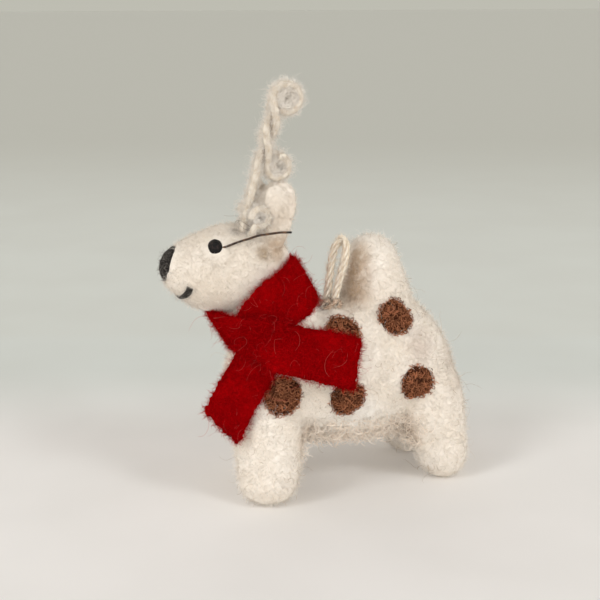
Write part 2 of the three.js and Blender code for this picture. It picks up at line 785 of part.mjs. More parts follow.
function addScarf() {
  const route = collarRouteShares.map(neckPlace);
  const clearance = scarfThickness / 2 + gap;
  const seat = ({ point, heading, facing }, behind) => ({
    point: from(point, [heading, -behind]),
    radial: facing,
  });
  route.unshift(seat(frontHinge, clearance), seat(frontHinge, clearance + scarfThickness));
  route.push(seat(rearHinge, clearance + scarfThickness), seat(rearHinge, clearance));
  const points = route.map(({ point }) => point);
  const outward = route.map(({ radial }) => radial);
  const collar = strip(points, outward, scarfWidth, scarfThickness, stripSteps);
  const cut = grownSolid([bodyForm, neckForm, headForm, ...Object.values(legForms)], gap);
  const frontEnd = scarfEnd(frontHinge, frontEndLength, frontEndWidth, frontTipShares);
  const rearEnd = scarfEnd(rearHinge, rearEndLength, rearEndWidth, rearTipShares);
  add("scarf_collar", solidOf(collar).subtract(cut), materials.scarf);
  add("scarf_front_end", solidOf(frontEnd).subtract(cut), materials.scarf);
  add("scarf_rear_end", solidOf(rearEnd).subtract(cut), materials.scarf);
}

// The twine loop rises from its knot, which sits in a dimple in the wool, and leans back on the tail.
const knotHeight = 2 * knotLobeRadius + knotStrand;
const knotReach = knotRadius + knotLobeRadius + knotStrand / 2;
const [loopAlong, loopOut] = loopPlaceShares;
const loopUnder = vector(loopAlong * bodyLength, loopOut * bodyWidth, bodyRise);
const knotMiddle = from(surfacePoint([bodyForm], loopUnder, up).point, [up, knotStandShare * knotHeight]);
const loopFoot = from(knotMiddle, [up, knotHeight / 2 + gap]);

function loopCurve() {
  const lean = vector(Math.sin(radians(loopLean)), 0, Math.cos(radians(loopLean)));
  const across = vector(Math.cos(radians(loopTurn)), -Math.sin(radians(loopTurn)), 0);
  const points = loopRouteShares.map(([out, rise]) =>
    from(loopFoot, [across, out * loopWidth], [rise === 0 ? up : lean, rise * loopHeight]),
  );
  return new THREE.CatmullRomCurve3(points);
}

// A three-lobed knot, one strand that crosses itself with clearance.
class KnotCurve extends THREE.Curve {
  getPoint(t, target = new THREE.Vector3()) {
    const angle = 2 * Math.PI * knotTurns * t;
    const lobe = 2 * Math.PI * knotLobes * t;
    const radius = knotRadius + knotLobeRadius * Math.cos(lobe);
    target.set(Math.cos(angle) * radius, Math.sin(angle) * radius, knotLobeRadius * Math.sin(lobe));
    return target.add(knotMiddle);
  }
}

// A round tube along a curve that meets itself.
function closedTube(curve, diameter, sideCount, steps) {
  const frames = curve.computeFrenetFrames(steps, true);
  const rings = Array.from({ length: steps }, (_, i) => {
    const middle = curve.getPointAt(i / steps);
    return Array.from({ length: sideCount }, (__, j) => {
      const angle = (-2 * Math.PI * j) / sideCount;
      const turned = [(Math.cos(angle) * diameter) / 2, (Math.sin(angle) * diameter) / 2];
      return from(middle, [frames.normals[i], turned[0]], [frames.binormals[i], turned[1]]);
    });
  });
  const at = (ring, side) => (ring % steps) * sideCount + (side % sideCount);
  const triangles = rings.flatMap((_, ring) =>
    Array.from({ length: sideCount }, (__, side) => [
      at(ring, side),
      at(ring + 1, side + 1),
      at(ring, side + 1),
      at(ring, side),
      at(ring + 1, side),
      at(ring + 1, side + 1),
    ]).flat(),
  );
  return geometryOf(rings.flat(), triangles);
}

function addLoop() {
  const knot = new KnotCurve();
  printLeastGap("loop_knot", knot, knotStrand, true);
  printLeastGap("hang_loop", loopCurve(), twineDiameter);
  add("loop_knot", solidOf(closedTube(knot, knotStrand, strandSides, knotSteps)), materials.twine);
  add("hang_loop", solidOf(tube(loopCurve(), twineDiameter, strandSides + 2, loopSteps)), materials.twine);
}

function addTorso() {
  const dimpleFoot = from(knotMiddle, [up, -knotHeight / 2 - gap]);
  const dimpleTop = from(dimpleFoot, [up, knotHeight + overrun]);
  const dimple = solidOf(bar(dimpleFoot, dimpleTop, 2 * (knotReach + gap)));
  add("torso", solidOf(bodyForm).subtract(dimple), materials.wool);
}

addTorso();
addLegs();
addNeckAndTail();
addHeadPieces();
addFace();
addSpots();
addScarf();
addLoop();

// The middle of the ornament's length and width lies over the origin. The loop is free, so it isn't counted.
const counted = ornament.children.filter(({ name }) => name !== "hang_loop");
const reach = counted.reduce((box, mesh) => box.expandByObject(mesh), new THREE.Box3());
const centre = reach.getCenter(vector(0, 0, 0));
ornament.position.set(-centre.x, -centre.y, 0);

export default ornament;
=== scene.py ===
import json
import math
import random

import bmesh
import bpy
import numpy as np
from mathutils import Matrix, Vector, noise
from mathutils.bvhtree import BVHTree

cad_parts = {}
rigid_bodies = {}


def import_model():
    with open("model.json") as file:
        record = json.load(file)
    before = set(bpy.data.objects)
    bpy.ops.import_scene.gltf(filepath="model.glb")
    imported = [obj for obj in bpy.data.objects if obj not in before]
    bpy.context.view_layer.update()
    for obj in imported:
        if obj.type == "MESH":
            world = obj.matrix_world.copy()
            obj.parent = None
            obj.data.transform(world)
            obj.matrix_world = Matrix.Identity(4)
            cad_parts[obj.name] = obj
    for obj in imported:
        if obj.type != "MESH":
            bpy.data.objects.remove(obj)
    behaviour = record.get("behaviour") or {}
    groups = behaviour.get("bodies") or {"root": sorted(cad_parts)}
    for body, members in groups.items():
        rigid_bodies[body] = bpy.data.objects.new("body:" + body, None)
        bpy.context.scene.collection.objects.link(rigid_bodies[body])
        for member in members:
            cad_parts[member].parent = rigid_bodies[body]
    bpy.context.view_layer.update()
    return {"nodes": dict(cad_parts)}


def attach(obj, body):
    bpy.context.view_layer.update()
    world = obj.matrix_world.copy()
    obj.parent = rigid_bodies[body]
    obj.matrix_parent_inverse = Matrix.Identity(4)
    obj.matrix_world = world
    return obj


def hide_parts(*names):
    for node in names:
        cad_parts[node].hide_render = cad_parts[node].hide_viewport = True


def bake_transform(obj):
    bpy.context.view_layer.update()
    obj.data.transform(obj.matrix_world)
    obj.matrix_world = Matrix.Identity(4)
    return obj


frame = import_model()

# A felted deer ornament. It faces -X, its left side is -Y, up is +Z. Sizes named here are in millimetres and
# every mesh is in metres.
MM = 0.001
UP = Vector((0, 0, 1))
BACK = Vector((1, 0, 0))
RIGHT = Vector((0, 1, 0))


def mm(*values):
    return Vector(values) * MM


def srgb(red, green, blue):
    """A colour as a paint card names it, 0 to 255, for a shader's socket."""
    channels = []
    for value in (red, green, blue):
        share = value / 255
        channels.append(share / 12.92 if share <= 0.04045 else ((share + 0.055) / 1.055) ** 2.4)
    return (*channels, 1.0)


def add_object(name, data):
    made = bpy.data.objects.new(name, data)
    bpy.context.scene.collection.objects.link(made)
    return made


def toward(azimuth, rise):
    """The way to what stands at an azimuth and a height, in degrees. Azimuth 0 is the deer's left side."""
    turn, lift = math.radians(azimuth), math.radians(rise)
    return Vector((math.sin(turn) * math.cos(lift), -math.cos(turn) * math.cos(lift), math.sin(lift)))


def aim(thing, way, axis):
    thing.rotation_mode = "QUATERNION"
    thing.rotation_quaternion = way.to_track_quat(axis, "Y")


# Camera

EYE_TURN = -23
EYE_RISE = 14
EYE_DISTANCE = 340
MIDDLE_Y = 1.351  # of the deer, between its left and right pieces
LOOK_AT = mm(-3.54, MIDDLE_Y, 53.8)
LENS = 72.84
FILM_WIDTH = 36


def set_camera():
    data = bpy.data.cameras.new("camera")
    data.lens = LENS
    data.sensor_width = FILM_WIDTH
    data.clip_start, data.clip_end = 0.01, 20
    camera = add_object("camera", data)
    camera.location = LOOK_AT + toward(EYE_TURN, EYE_RISE) * EYE_DISTANCE * MM
    aim(camera, -toward(EYE_TURN, EYE_RISE), "-Z")
    bpy.context.scene.camera = camera


set_camera()


# Small helpers for meshes

def mesh_object(name, vertices, faces, material):
    mesh = bpy.data.meshes.new(name)
    mesh.from_pydata([tuple(v) for v in vertices], [], faces)
    return place(name, mesh, material)


def place(name, mesh, material):
    piece = add_object(name, mesh)
    mesh.name = name
    mesh.materials.clear()
    mesh.materials.append(material)
    mesh.shade_smooth()
    mesh.update()
    return piece


def mesh_from(name, shape):
    """A mesh of a bmesh, which is freed."""
    mesh = bpy.data.meshes.new(name)
    shape.to_mesh(mesh)
    shape.free()
    return mesh


def evaluated_mesh(piece):
    """The piece's mesh with its modifiers worked in, and the piece taken away."""
    bpy.context.view_layer.update()
    graph = bpy.context.evaluated_depsgraph_get()
    mesh = bpy.data.meshes.new_from_object(piece.evaluated_get(graph), depsgraph=graph)
    bpy.data.objects.remove(piece)
    return mesh


def points_of(mesh, kind="co"):
    co = np.zeros(len(mesh.vertices) * 3)
    mesh.vertices.foreach_get(kind, co)
    return co.reshape(-1, 3)


def normals_of(mesh):
    return points_of(mesh, "normal")


def as_array(points):
    return np.array([list(p) for p in points])


def distances(co, points):
    """How far each point of the first list lies from each of the second."""
    return np.linalg.norm(co[:, None, :] - points[None, :, :], axis=2)


def set_points(mesh, co):
    mesh.vertices.foreach_set("co", np.asarray(co, float).ravel())
    mesh.update()


def let_out(mesh, relief):
    """Moves each point out along its normal, by its own millimetres."""
    set_points(mesh, points_of(mesh) + normals_of(mesh) * (relief * MM)[:, None])


def set_share(mesh, name, values):
    layer = mesh.attributes.get(name) or mesh.attributes.new(name, "FLOAT", "POINT")
    layer.data.foreach_set("value", np.asarray(values, np.float32))


def share_of(mesh, name):
    values = np.zeros(len(mesh.vertices))
    mesh.attributes[name].data.foreach_get("value", values)
    return values


def lumps(co, size, seed):
    """Smooth noise about zero at each point, with lumps about the given size in millimetres."""
    shift = Vector((seed * 7.13, seed * 3.71, seed * 5.37))
    scale = 1 / (size * MM)
    return np.array([noise.noise(Vector(p) * scale + shift) for p in co])


def smoothstep(low, high, value):
    share = np.clip((value - low) / (high - low), 0, 1)
    return share * share * (3 - 2 * share)


def tree_of(piece):
    return BVHTree.FromObject(piece, bpy.context.evaluated_depsgraph_get())


def smooth_noise(point, size, shift=(0, 0, 0)):
    """Smooth noise about zero at one point, with lumps about the given size in millimetres."""
    return noise.noise(point / (size * MM) + Vector(shift))


def curve_point(points, share, closed=False):
    """The point at a share of the spans on a smooth curve through the given points."""
    size = len(points)
    spans = size if closed else size - 1
    place = min(max(share, 0.0), 1.0) * spans
    span = min(int(place), spans - 1)
    t = place - span
    if closed:
        before, first, second, after = (points[(span + k) % size] for k in (-1, 0, 1, 2))
    else:
        first, second = points[span], points[span + 1]
        before = points[span - 1] if span else 2 * first - second
        after = points[span + 2] if span + 2 < size else 2 * second - first
    lead, middle, trail = (max((q - p).length, 1e-9) ** 0.5
                           for p, q in ((before, first), (first, second), (second, after)))
    leave = ((first - before) / lead - (second - before) / (lead + middle)
             + (second - first) / middle) * middle
    arrive = ((second - first) / middle - (after - first) / (middle + trail)
              + (after - second) / trail) * middle
    return (first * (2 * t ** 3 - 3 * t * t + 1) + leave * (t ** 3 - 2 * t * t + t)
            + second * (3 * t * t - 2 * t ** 3) + arrive * (t ** 3 - t * t))


CURVE_STEPS = 24  # between two given points, where a curve's length is measured


def catmull(points, count, closed=False):
    """Evenly spaced points on the smooth curve through the given ones. A closed one ends where it starts."""
    steps = CURVE_STEPS * len(points)
    fine = [curve_point(points, i / steps, closed) for i in range(steps + 1)]
    lengths = np.concatenate([[0], np.cumsum([(b - a).length for a, b in zip(fine, fine[1:])])])
    table = as_array(fine)
    wanted = np.linspace(0, lengths[-1], count)
    return [Vector([np.interp(w, lengths, table[:, axis]) for axis in range(3)]) for w in wanted]


def frames_along(route):
    """At each point of a route: the way along it and two ways across it, turned no more than they must."""
    last = len(route) - 1
    frames, side = [], None
    for i in range(last + 1):
        ahead = (route[min(i + 1, last)] - route[max(i - 1, 0)]).normalized()
        side = ahead.orthogonal() if side is None else side
        side = (side - ahead * side.dot(ahead)).normalized()
        frames.append((ahead, side, ahead.cross(side)))
    return frames


def wound(route, reach, turn_length, phase):
    """A ply that winds round a route at the given reach, one turn in each turn_length."""
    ply, gone = [], 0.0
    for i, (_, side, other) in enumerate(frames_along(route)):
        gone += (route[i] - route[max(i - 1, 0)]).length
        angle = 2 * math.pi * gone / turn_length + phase
        ply.append(route[i] + (side * math.cos(angle) + other * math.sin(angle)) * reach)
    return ply


def length_of(points):
    return sum((b - a).length for a, b in zip(points, points[1:]))


# Node trees

def new_tree(name, inputs):
    tree = bpy.data.node_groups.new(name, "GeometryNodeTree")
    tree.interface.new_socket("Geometry", in_out="INPUT", socket_type="NodeSocketGeometry")
    ids = {}
    for label, kind, value in inputs:
        socket = tree.interface.new_socket(label, in_out="INPUT", socket_type=kind)
        if value is not None:
            socket.default_value = value
        ids[label] = socket.identifier
    tree.interface.new_socket("Geometry", in_out="OUTPUT", socket_type="NodeSocketGeometry")
    source = tree.nodes.new("NodeGroupInput")
    sink = tree.nodes.new("NodeGroupOutput")
    return tree, ids, source, sink


def add_node(tree, kind, links=(), **settings):
    node = tree.nodes.new(kind)
    for key, value in settings.items():
        setattr(node, key, value)
    for label, source in links:
        join(tree, source, node.inputs[label])
    return node


def math_node(tree, operation, first, second):
    return add_node(tree, "ShaderNodeMath", [(0, first), (1, second)], operation=operation).outputs[0]


def enabled(sockets):
    return {socket.name: socket for socket in sockets if socket.enabled}


def join(tree, source, target):
    """Links a socket to a node's input, or sets that input to a value."""
    if isinstance(source, bpy.types.NodeSocket):
        tree.links.new(source, target)
    else:
        target.default_value = source


def stored(tree, geometry, name, value, domain="POINT"):
    node = add_node(tree, "GeometryNodeStoreNamedAttribute",
                    [("Geometry", geometry), ("Name", name), ("Value", value)],
                    data_type="FLOAT", domain=domain)
    return node.outputs["Geometry"]


def named(tree, name):
    node = add_node(tree, "GeometryNodeInputNamedAttribute", [("Name", name)], data_type="FLOAT")
    return node.outputs["Attribute"]


def finish_tree(tree, geometry, source, sink):
    """Ends a tree with real geometry and its material."""
    whole = add_node(tree, "GeometryNodeRealizeInstances", [("Geometry", geometry)])
    finish = add_node(tree, "GeometryNodeSetMaterial",
                      [("Geometry", whole.outputs["Geometry"]), ("Material", source.outputs["Finish"])])
    tree.links.new(finish.outputs["Geometry"], sink.inputs["Geometry"])


def strand_tree():
    """Winds a round strand along a line of points. Each point's "thick" is a share of the strand's width."""
    tree, ids, source, sink = new_tree("strand_on_its_route", [
        ("Strand width", "NodeSocketFloat", 0.001),
        ("Sides", "NodeSocketInt", 8),
        ("Finish", "NodeSocketMaterial", None),
    ])
    given = source.outputs
    curve = add_node(tree, "GeometryNodeMeshToCurve", [("Mesh", given["Geometry"])])
    radius = add_node(tree, "GeometryNodeSetCurveRadius",
                      [("Curve", curve.outputs["Curve"]), ("Radius", named(tree, "thick"))])
    length = add_node(tree, "GeometryNodeSplineParameter").outputs["Length"]
    along = stored(tree, radius.outputs["Curve"], "along", length)
    half = math_node(tree, "MULTIPLY", given["Strand width"], 0.5)
    ring = add_node(tree, "GeometryNodeCurvePrimitiveCircle",
                    [("Resolution", given["Sides"]), ("Radius", half)], mode="RADIUS")
    turn = add_node(tree, "GeometryNodeSplineParameter").outputs["Factor"]
    around = stored(tree, ring.outputs["Curve"], "around", turn)
    skin = add_node(tree, "GeometryNodeCurveToMesh",
                    [("Curve", along), ("Profile Curve", around), ("Fill Caps", True)])
    finish_tree(tree, skin.outputs["Mesh"], source, sink)
    return tree, ids


FIBRE_KINDS = 8


def random_value(tree, source, later, low, high, kind="FLOAT"):
    """A number for each fibre, drawn from the tree's seed, or from one that comes a little later."""
    node = add_node(tree, "FunctionNodeRandomValue", data_type=kind)
    inputs = enabled(node.inputs)
    seed = source.outputs["Seed"]
    join(tree, low, inputs["Min"])
    join(tree, high, inputs["Max"])
    join(tree, math_node(tree, "ADD", seed, later) if later else seed, inputs["Seed"])
    return enabled(node.outputs)["Value"]


def fibre_tree():
    """Plants fibres on a surface, more where its "fleece" is high, each leaning and turned its own way."""
    tree, ids, source, sink = new_tree("fibres_on_felt", [
        ("Fibres a square metre", "NodeSocketFloat", 1e6),
        ("Fleece", "NodeSocketString", "fleece"),
        ("Shortest", "NodeSocketFloat", 0.001),
        ("Longest", "NodeSocketFloat", 0.002),
        ("Least lean", "NodeSocketFloat", 0.0),
        ("Most lean", "NodeSocketFloat", 1.2),
        ("Seed", "NodeSocketInt", 1),
        ("Shapes", "NodeSocketCollection", None),
        ("Finish", "NodeSocketMaterial", None),
    ])
    given = source.outputs
    density = math_node(tree, "MULTIPLY", named(tree, given["Fleece"]), given["Fibres a square metre"])
    spread = add_node(tree, "GeometryNodeDistributePointsOnFaces",
                      [("Mesh", given["Geometry"]), ("Density", density), ("Seed", given["Seed"])],
                      distribute_method="RANDOM")
    lean = random_value(tree, source, 0.0, given["Least lean"], given["Most lean"])
    spin = random_value(tree, source, 71.0, 0, 2 * math.pi)
    angles = add_node(tree, "ShaderNodeCombineXYZ", [("X", lean), ("Z", spin)])
    turned = add_node(tree, "FunctionNodeEulerToRotation", [(0, angles.outputs[0])])
    rotation = add_node(tree, "FunctionNodeRotateRotation",
                        [(0, spread.outputs["Rotation"]), (1, turned.outputs[0])], rotation_space="LOCAL")
    size = random_value(tree, source, 133.0, given["Shortest"], given["Longest"])
    shapes = add_node(tree, "GeometryNodeCollectionInfo",
                      [("Collection", given["Shapes"]), ("Separate Children", True),
                       ("Reset Children", True)], transform_space="ORIGINAL")
    pick = random_value(tree, source, 0.0, 0, FIBRE_KINDS - 1, "INT")
    planted = add_node(tree, "GeometryNodeInstanceOnPoints",
                       [("Points", spread.outputs["Points"]), ("Instance", shapes.outputs["Instances"]),
                        ("Pick Instance", True), ("Instance Index", pick),
                        ("Rotation", rotation.outputs[0]), ("Scale", size)])
    tone = random_value(tree, source, 211.0, 0.0, 1.0)
    toned = stored(tree, planted.outputs["Instances"], "tone", tone, "INSTANCE")
    finish_tree(tree, toned, source, sink)
    return tree, ids


strand_group, strand_ids = strand_tree()
fibre_group, fibre_ids = fibre_tree()


def run_tree(piece, group, ids, values):
    modifier = piece.modifiers.new("build", "NODES")
    modifier.node_group = group
    for label, value in values.items():
        modifier[ids[label]] = value
    return evaluated_mesh(piece)


def strand(name, routes, width, sides, material, thick=None):
    """One mesh of round strands, each along its own route of points."""
    vertices, edges, shares = [], [], []
    for number, route in enumerate(routes):
        start = len(vertices)
        vertices += [tuple(p) for p in route]
        edges += [(start + i, start + i + 1) for i in range(len(route) - 1)]
        shares += list(thick[number]) if thick else [1.0] * len(route)
    mesh = bpy.data.meshes.new(name)
    mesh.from_pydata(vertices, edges, [])
    set_share(mesh, "thick", shares)
    made = run_tree(add_object(name + "_route", mesh), strand_group, strand_ids,
                    {"Strand width": width, "Sides": sides, "Finish": material})
    return place(name, made, material)


def round_section(middle, side, other, half, count):
    """Points round a place on a strand, in the plane of two ways across it."""
    angles = [2 * math.pi * k / count for k in range(count)]
    return [middle + (side * math.cos(angle) + other * math.sin(angle)) * half for angle in angles]


def fibre_shapes(name, curl, width_share, steps, seed):
    """Single fibres of unit length, bent at random, that the fibre tree plants. Curl is in radians."""
    chance = random.Random(seed)
    wander, taper = 0.45, 0.3
    shelf = bpy.data.collections.new(name)
    for number in range(FIBRE_KINDS):
        heading, point = Vector((0, 0, 1)), Vector((0, 0, 0))
        route = [point.copy()]
        bend = Vector((chance.uniform(-1, 1), chance.uniform(-1, 1), chance.uniform(-0.3, 0.3))).normalized()
        for _ in range(steps):
            shake = Vector((chance.uniform(-1, 1), chance.uniform(-1, 1), chance.uniform(-1, 1)))
            bend = (bend + wander * shake).normalized()
            turn = Matrix.Rotation(curl / steps * chance.uniform(0.6, 1.3), 3, bend)
            heading = (turn @ heading).normalized()
            point = point + heading / steps
            route.append(point.copy())
        vertices = []
        side = heading.orthogonal().normalized()
        for i, middle in enumerate(route[:-1]):
            ahead = (route[i + 1] - route[max(i - 1, 0)]).normalized()
            side = (side - ahead * side.dot(ahead)).normalized()
            half = width_share / 2 * (1.0 - taper * i / steps)
            vertices += round_section(middle, side, ahead.cross(side), half, 3)
        vertices.append(route[-1])
        faces = [(0, 2, 1)]
        for i in range(steps - 1):
            for k in range(3):
                a, b = 3 * i + k, 3 * i + (k + 1) % 3
                faces.append((a, b, b + 3, a + 3))
        last = 3 * (steps - 1)
        faces += [(last + k, last + (k + 1) % 3, last + 3) for k in range(3)]
        mesh = bpy.data.meshes.new(f"{name}_{number}")
        mesh.from_pydata([tuple(v) for v in vertices], [], faces)
        mesh.shade_smooth()
        mesh.update()
        shelf.objects.link(bpy.data.objects.new(f"{name}_{number}", mesh))
    return shelf


# Each row is a curl in radians, a width as a share of the length, a number of steps and a seed
short_shapes = fibre_shapes("short_fibre", 1.7, 0.039, 2, 11)
curly_shapes = fibre_shapes("curly_fibre", 4.6, 0.016, 7, 12)
thick_curl_shapes = fibre_shapes("thick_curl", 6.0, 0.072, 7, 13)
tuft_shapes = fibre_shapes("tuft_fibre", 3.6, 0.03, 5, 15)
hair_shapes = fibre_shapes("dark_hair", 4.2, 0.009, 12, 16)
long_shapes = fibre_shapes("long_hair", 3.0, 0.008, 10, 14)
ABOVE_FLOOR = 0.02  # the lowest that a fibre hangs


def plant(name, surface, material, shapes, per_mm2, lengths, leans, seed, fleece="fleece"):
    """A mesh of loose fibres planted on a surface. Lengths are in millimetres and leans in radians."""
    mesh = run_tree(add_object(name + "_ground", surface.data.copy()), fibre_group, fibre_ids, {
        "Fibres a square metre": per_mm2 / MM ** 2,
        "Fleece": fleece,
        "Shortest": lengths[0] * MM,
        "Longest": lengths[1] * MM,
        "Least lean": leans[0],
        "Most lean": leans[1],
        "Seed": seed,
        "Shapes": shapes,
        "Finish": material,
    })
    co = points_of(mesh)
    co[:, 2] = np.maximum(co[:, 2], ABOVE_FLOOR * MM)
    set_points(mesh, co)
    return place(name, mesh, material)


# Finishes

def new_material(name, roughness, sheen=0.0, sheen_color=(1, 1, 1, 1), specular=0.3, metallic=0.0):
    material = bpy.data.materials.new(name)
    material.use_nodes = True
    tree = material.node_tree
    shader = tree.nodes["Principled BSDF"]
    for label, value in (("Roughness", roughness), ("Specular IOR Level", specular), ("Metallic", metallic),
                         ("Sheen Weight", sheen), ("Sheen Roughness", 0.6), ("Sheen Tint", sheen_color)):
        shader.inputs[label].default_value = value
    return material, tree, shader, add_node(tree, "ShaderNodeTexCoord").outputs["Object"]


def grain(tree, coords, size, detail=2.0, distortion=0.0, output="Fac"):
    """Noise with grains about the given size in millimetres."""
    node = add_node(tree, "ShaderNodeTexNoise", [("Vector", coords), ("Scale", 1 / (size * MM)),
                                                 ("Detail", detail), ("Distortion", distortion)])
    return node.outputs[output]


def share_on_surface(tree, name):
    node = add_node(tree, "ShaderNodeAttribute", attribute_name=name, attribute_type="GEOMETRY")
    return node.outputs["Fac"]


def mix_colors(tree, share, first, second):
    node = add_node(tree, "ShaderNodeMix", data_type="RGBA", blend_type="MIX")
    inputs = enabled(node.inputs)
    for label, value in (("Factor", share), ("A", first), ("B", second)):
        join(tree, value, inputs[label])
    return enabled(node.outputs)["Result"]


def spread_range(tree, value, low, high, to_low=0.0, to_high=1.0):
    return add_node(tree, "ShaderNodeMapRange", [("Value", value), ("From Min", low), ("From Max", high),
                                                 ("To Min", to_low), ("To Max", to_high)],
                    interpolation_type="SMOOTHSTEP").outputs["Result"]


def multiplied(tree, first, second):
    return math_node(tree, "MULTIPLY", first, second)


def added(tree, first, *others):
    for other in others:
        first = math_node(tree, "ADD", first, other)
    return first


def vector_node(tree, operation, first, second):
    node = add_node(tree, "ShaderNodeVectorMath", [(0, first), (1, second)], operation=operation)
    return node.outputs["Value" if operation in ("DISTANCE", "DOT_PRODUCT") else "Vector"]


def cells(tree, vector, size, feature):
    node = add_node(tree, "ShaderNodeTexVoronoi", [("Vector", vector), ("Scale", 1 / (size * MM))],
                    feature=feature)
    return node.outputs["Distance"]


def tangled_lines(tree, coords, cell, wander, width):
    """Fine curled fibres that lie in the felt: 1 on a fibre, 0 between. Cell and wander in millimetres."""
    wobble = grain(tree, coords, wander * 1.4, 1.0, output="Color")
    centred = vector_node(tree, "SUBTRACT", wobble, (0.5, 0.5, 0.5))
    pushed = add_node(tree, "ShaderNodeVectorMath", [(0, centred), ("Scale", wander * 2.6 * MM)],
                      operation="SCALE")
    moved = vector_node(tree, "ADD", coords, pushed.outputs[0])
    return spread_range(tree, cells(tree, moved, cell, "DISTANCE_TO_EDGE"), 0.0, width, 1.0, 0.0)


def cover(tree, shader, color, height, depth, strength=1.0):
    """Gives a shader its colour and its relief, which is as deep as the given millimetres."""
    tree.links.new(color, shader.inputs["Base Color"])
    node = add_node(tree, "ShaderNodeBump", [("Height", height), ("Distance", depth * MM),
                                             ("Strength", strength)])
    tree.links.new(node.outputs["Normal"], shader.inputs["Normal"])


def lay_painted_light_shade_and_dirt(tree, coords, color, patches, painted_light_shade_and_dirt):
    """Lays painted shade, painted light and some soiling over the wool's colour: each has a place, a reach,
    a tint and a share.
    """
    for middle, reach, tint, share in painted_light_shade_and_dirt:
        offset = vector_node(tree, "DISTANCE", coords, mm(*middle))
        near = spread_range(tree, offset, 0.15 * reach * MM, reach * MM, share, 0.0)
        patchy = multiplied(tree, near, spread_range(tree, patches, 0.25, 0.6, 0.35, 1.0))
        color = mix_colors(tree, patchy, color, tint)
    return color


def felt(name, middle, dark_tone_and_hollow_shade, fibre, cell=1.1, sheen=0.2, sheen_color=(1, 1, 1, 1), depth=0.1, marks=0.35,
         painted_light_shade_and_dirt=(), specular=0.12):
    """Needle-felted wool: tangled fibres over soft hollows, with colour that drifts over the piece. The
    hollows of its relief are painted darker, as painted shade.
    """
    material, tree, shader, coords = new_material(name, 0.95, sheen, sheen_color, specular)
    drift = grain(tree, coords, 11, 3.0)
    soft = grain(tree, coords, 1.9, 5.0, 0.6)
    hairy = grain(tree, coords, 0.35, 3.0, 2.5)
    fine = tangled_lines(tree, coords, cell, cell * 1.1, 0.07)
    finer = tangled_lines(tree, coords, cell * 0.5, cell * 0.6, 0.1)
    color = mix_colors(tree, spread_range(tree, drift, 0.3, 0.7), dark_tone_and_hollow_shade, middle)
    # Painted shade: the relief's hollows take the darker tone.
    color = mix_colors(tree, spread_range(tree, soft, 0.35, 0.68, marks, 0.0), color, dark_tone_and_hollow_shade)
    color = mix_colors(tree, multiplied(tree, fine, marks), color, fibre)
    color = mix_colors(tree, multiplied(tree, finer, marks * 0.6), color, fibre)
    color = lay_painted_light_shade_and_dirt(tree, coords, color, soft, painted_light_shade_and_dirt)
    heights = added(tree, multiplied(tree, fine, 0.4), multiplied(tree, finer, 0.3), soft,
                    multiplied(tree, hairy, 0.5))
    cover(tree, shader, color, heights, depth)
    return material


def loose_fibre(name, dark, light, sheen=0.2, specular=0.2, painted_light_shade_and_dirt=()):
    """Fibres that stand off the felt, each of its own tone."""
    material, tree, shader, coords = new_material(name, 0.85, sheen, light, specular)
    drift = grain(tree, coords, 3, 2.0)
    share = added(tree, multiplied(tree, share_on_surface(tree, "tone"), 0.75), multiplied(tree, drift, 0.25))
    color = lay_painted_light_shade_and_dirt(tree, coords, mix_colors(tree, share, dark, light), drift, painted_light_shade_and_dirt)
    tree.links.new(color, shader.inputs["Base Color"])
    return material


def spun(name, dark, middle, light, turns_per_mm, plies, depth, crease=None):
    """Spun yarn: its fibres run round the strand as they run along it. A crease is painted shade, a darker
    tone where strands lie close."""
    material, tree, shader, coords = new_material(name, 0.9, 0.2, light, 0.2)
    soft = grain(tree, coords, 0.8, 4.0, 0.8)
    turned = added(tree, multiplied(tree, share_on_surface(tree, "along"), turns_per_mm / MM),
                   multiplied(tree, share_on_surface(tree, "around"), float(plies)),
                   multiplied(tree, soft, 0.9))
    wave = math_node(tree, "SINE", multiplied(tree, turned, 2 * math.pi), 0.0)
    lay = spread_range(tree, wave, -1.0, 0.6)
    lines = tangled_lines(tree, coords, 0.5, 0.7, 0.12)
    # Painted shade: the grooves between the turns, low in the relief, take the dark tone.
    color = mix_colors(tree, lay, dark, middle)
    color = mix_colors(tree, multiplied(tree, lines, 0.5), color, light)
    color = mix_colors(tree, spread_range(tree, soft, 0.55, 0.75, 0.0, 0.5), color, light)
    # Painted shade where strands lie close
    if crease:
        patchy = multiplied(tree, share_on_surface(tree, "crease"),
                            spread_range(tree, soft, 0.35, 0.6, 0.3, 1.0))
        color = mix_colors(tree, patchy, color, crease)
    cover(tree, shader, color, added(tree, lay, multiplied(tree, lines, 0.5)), depth)
    return material


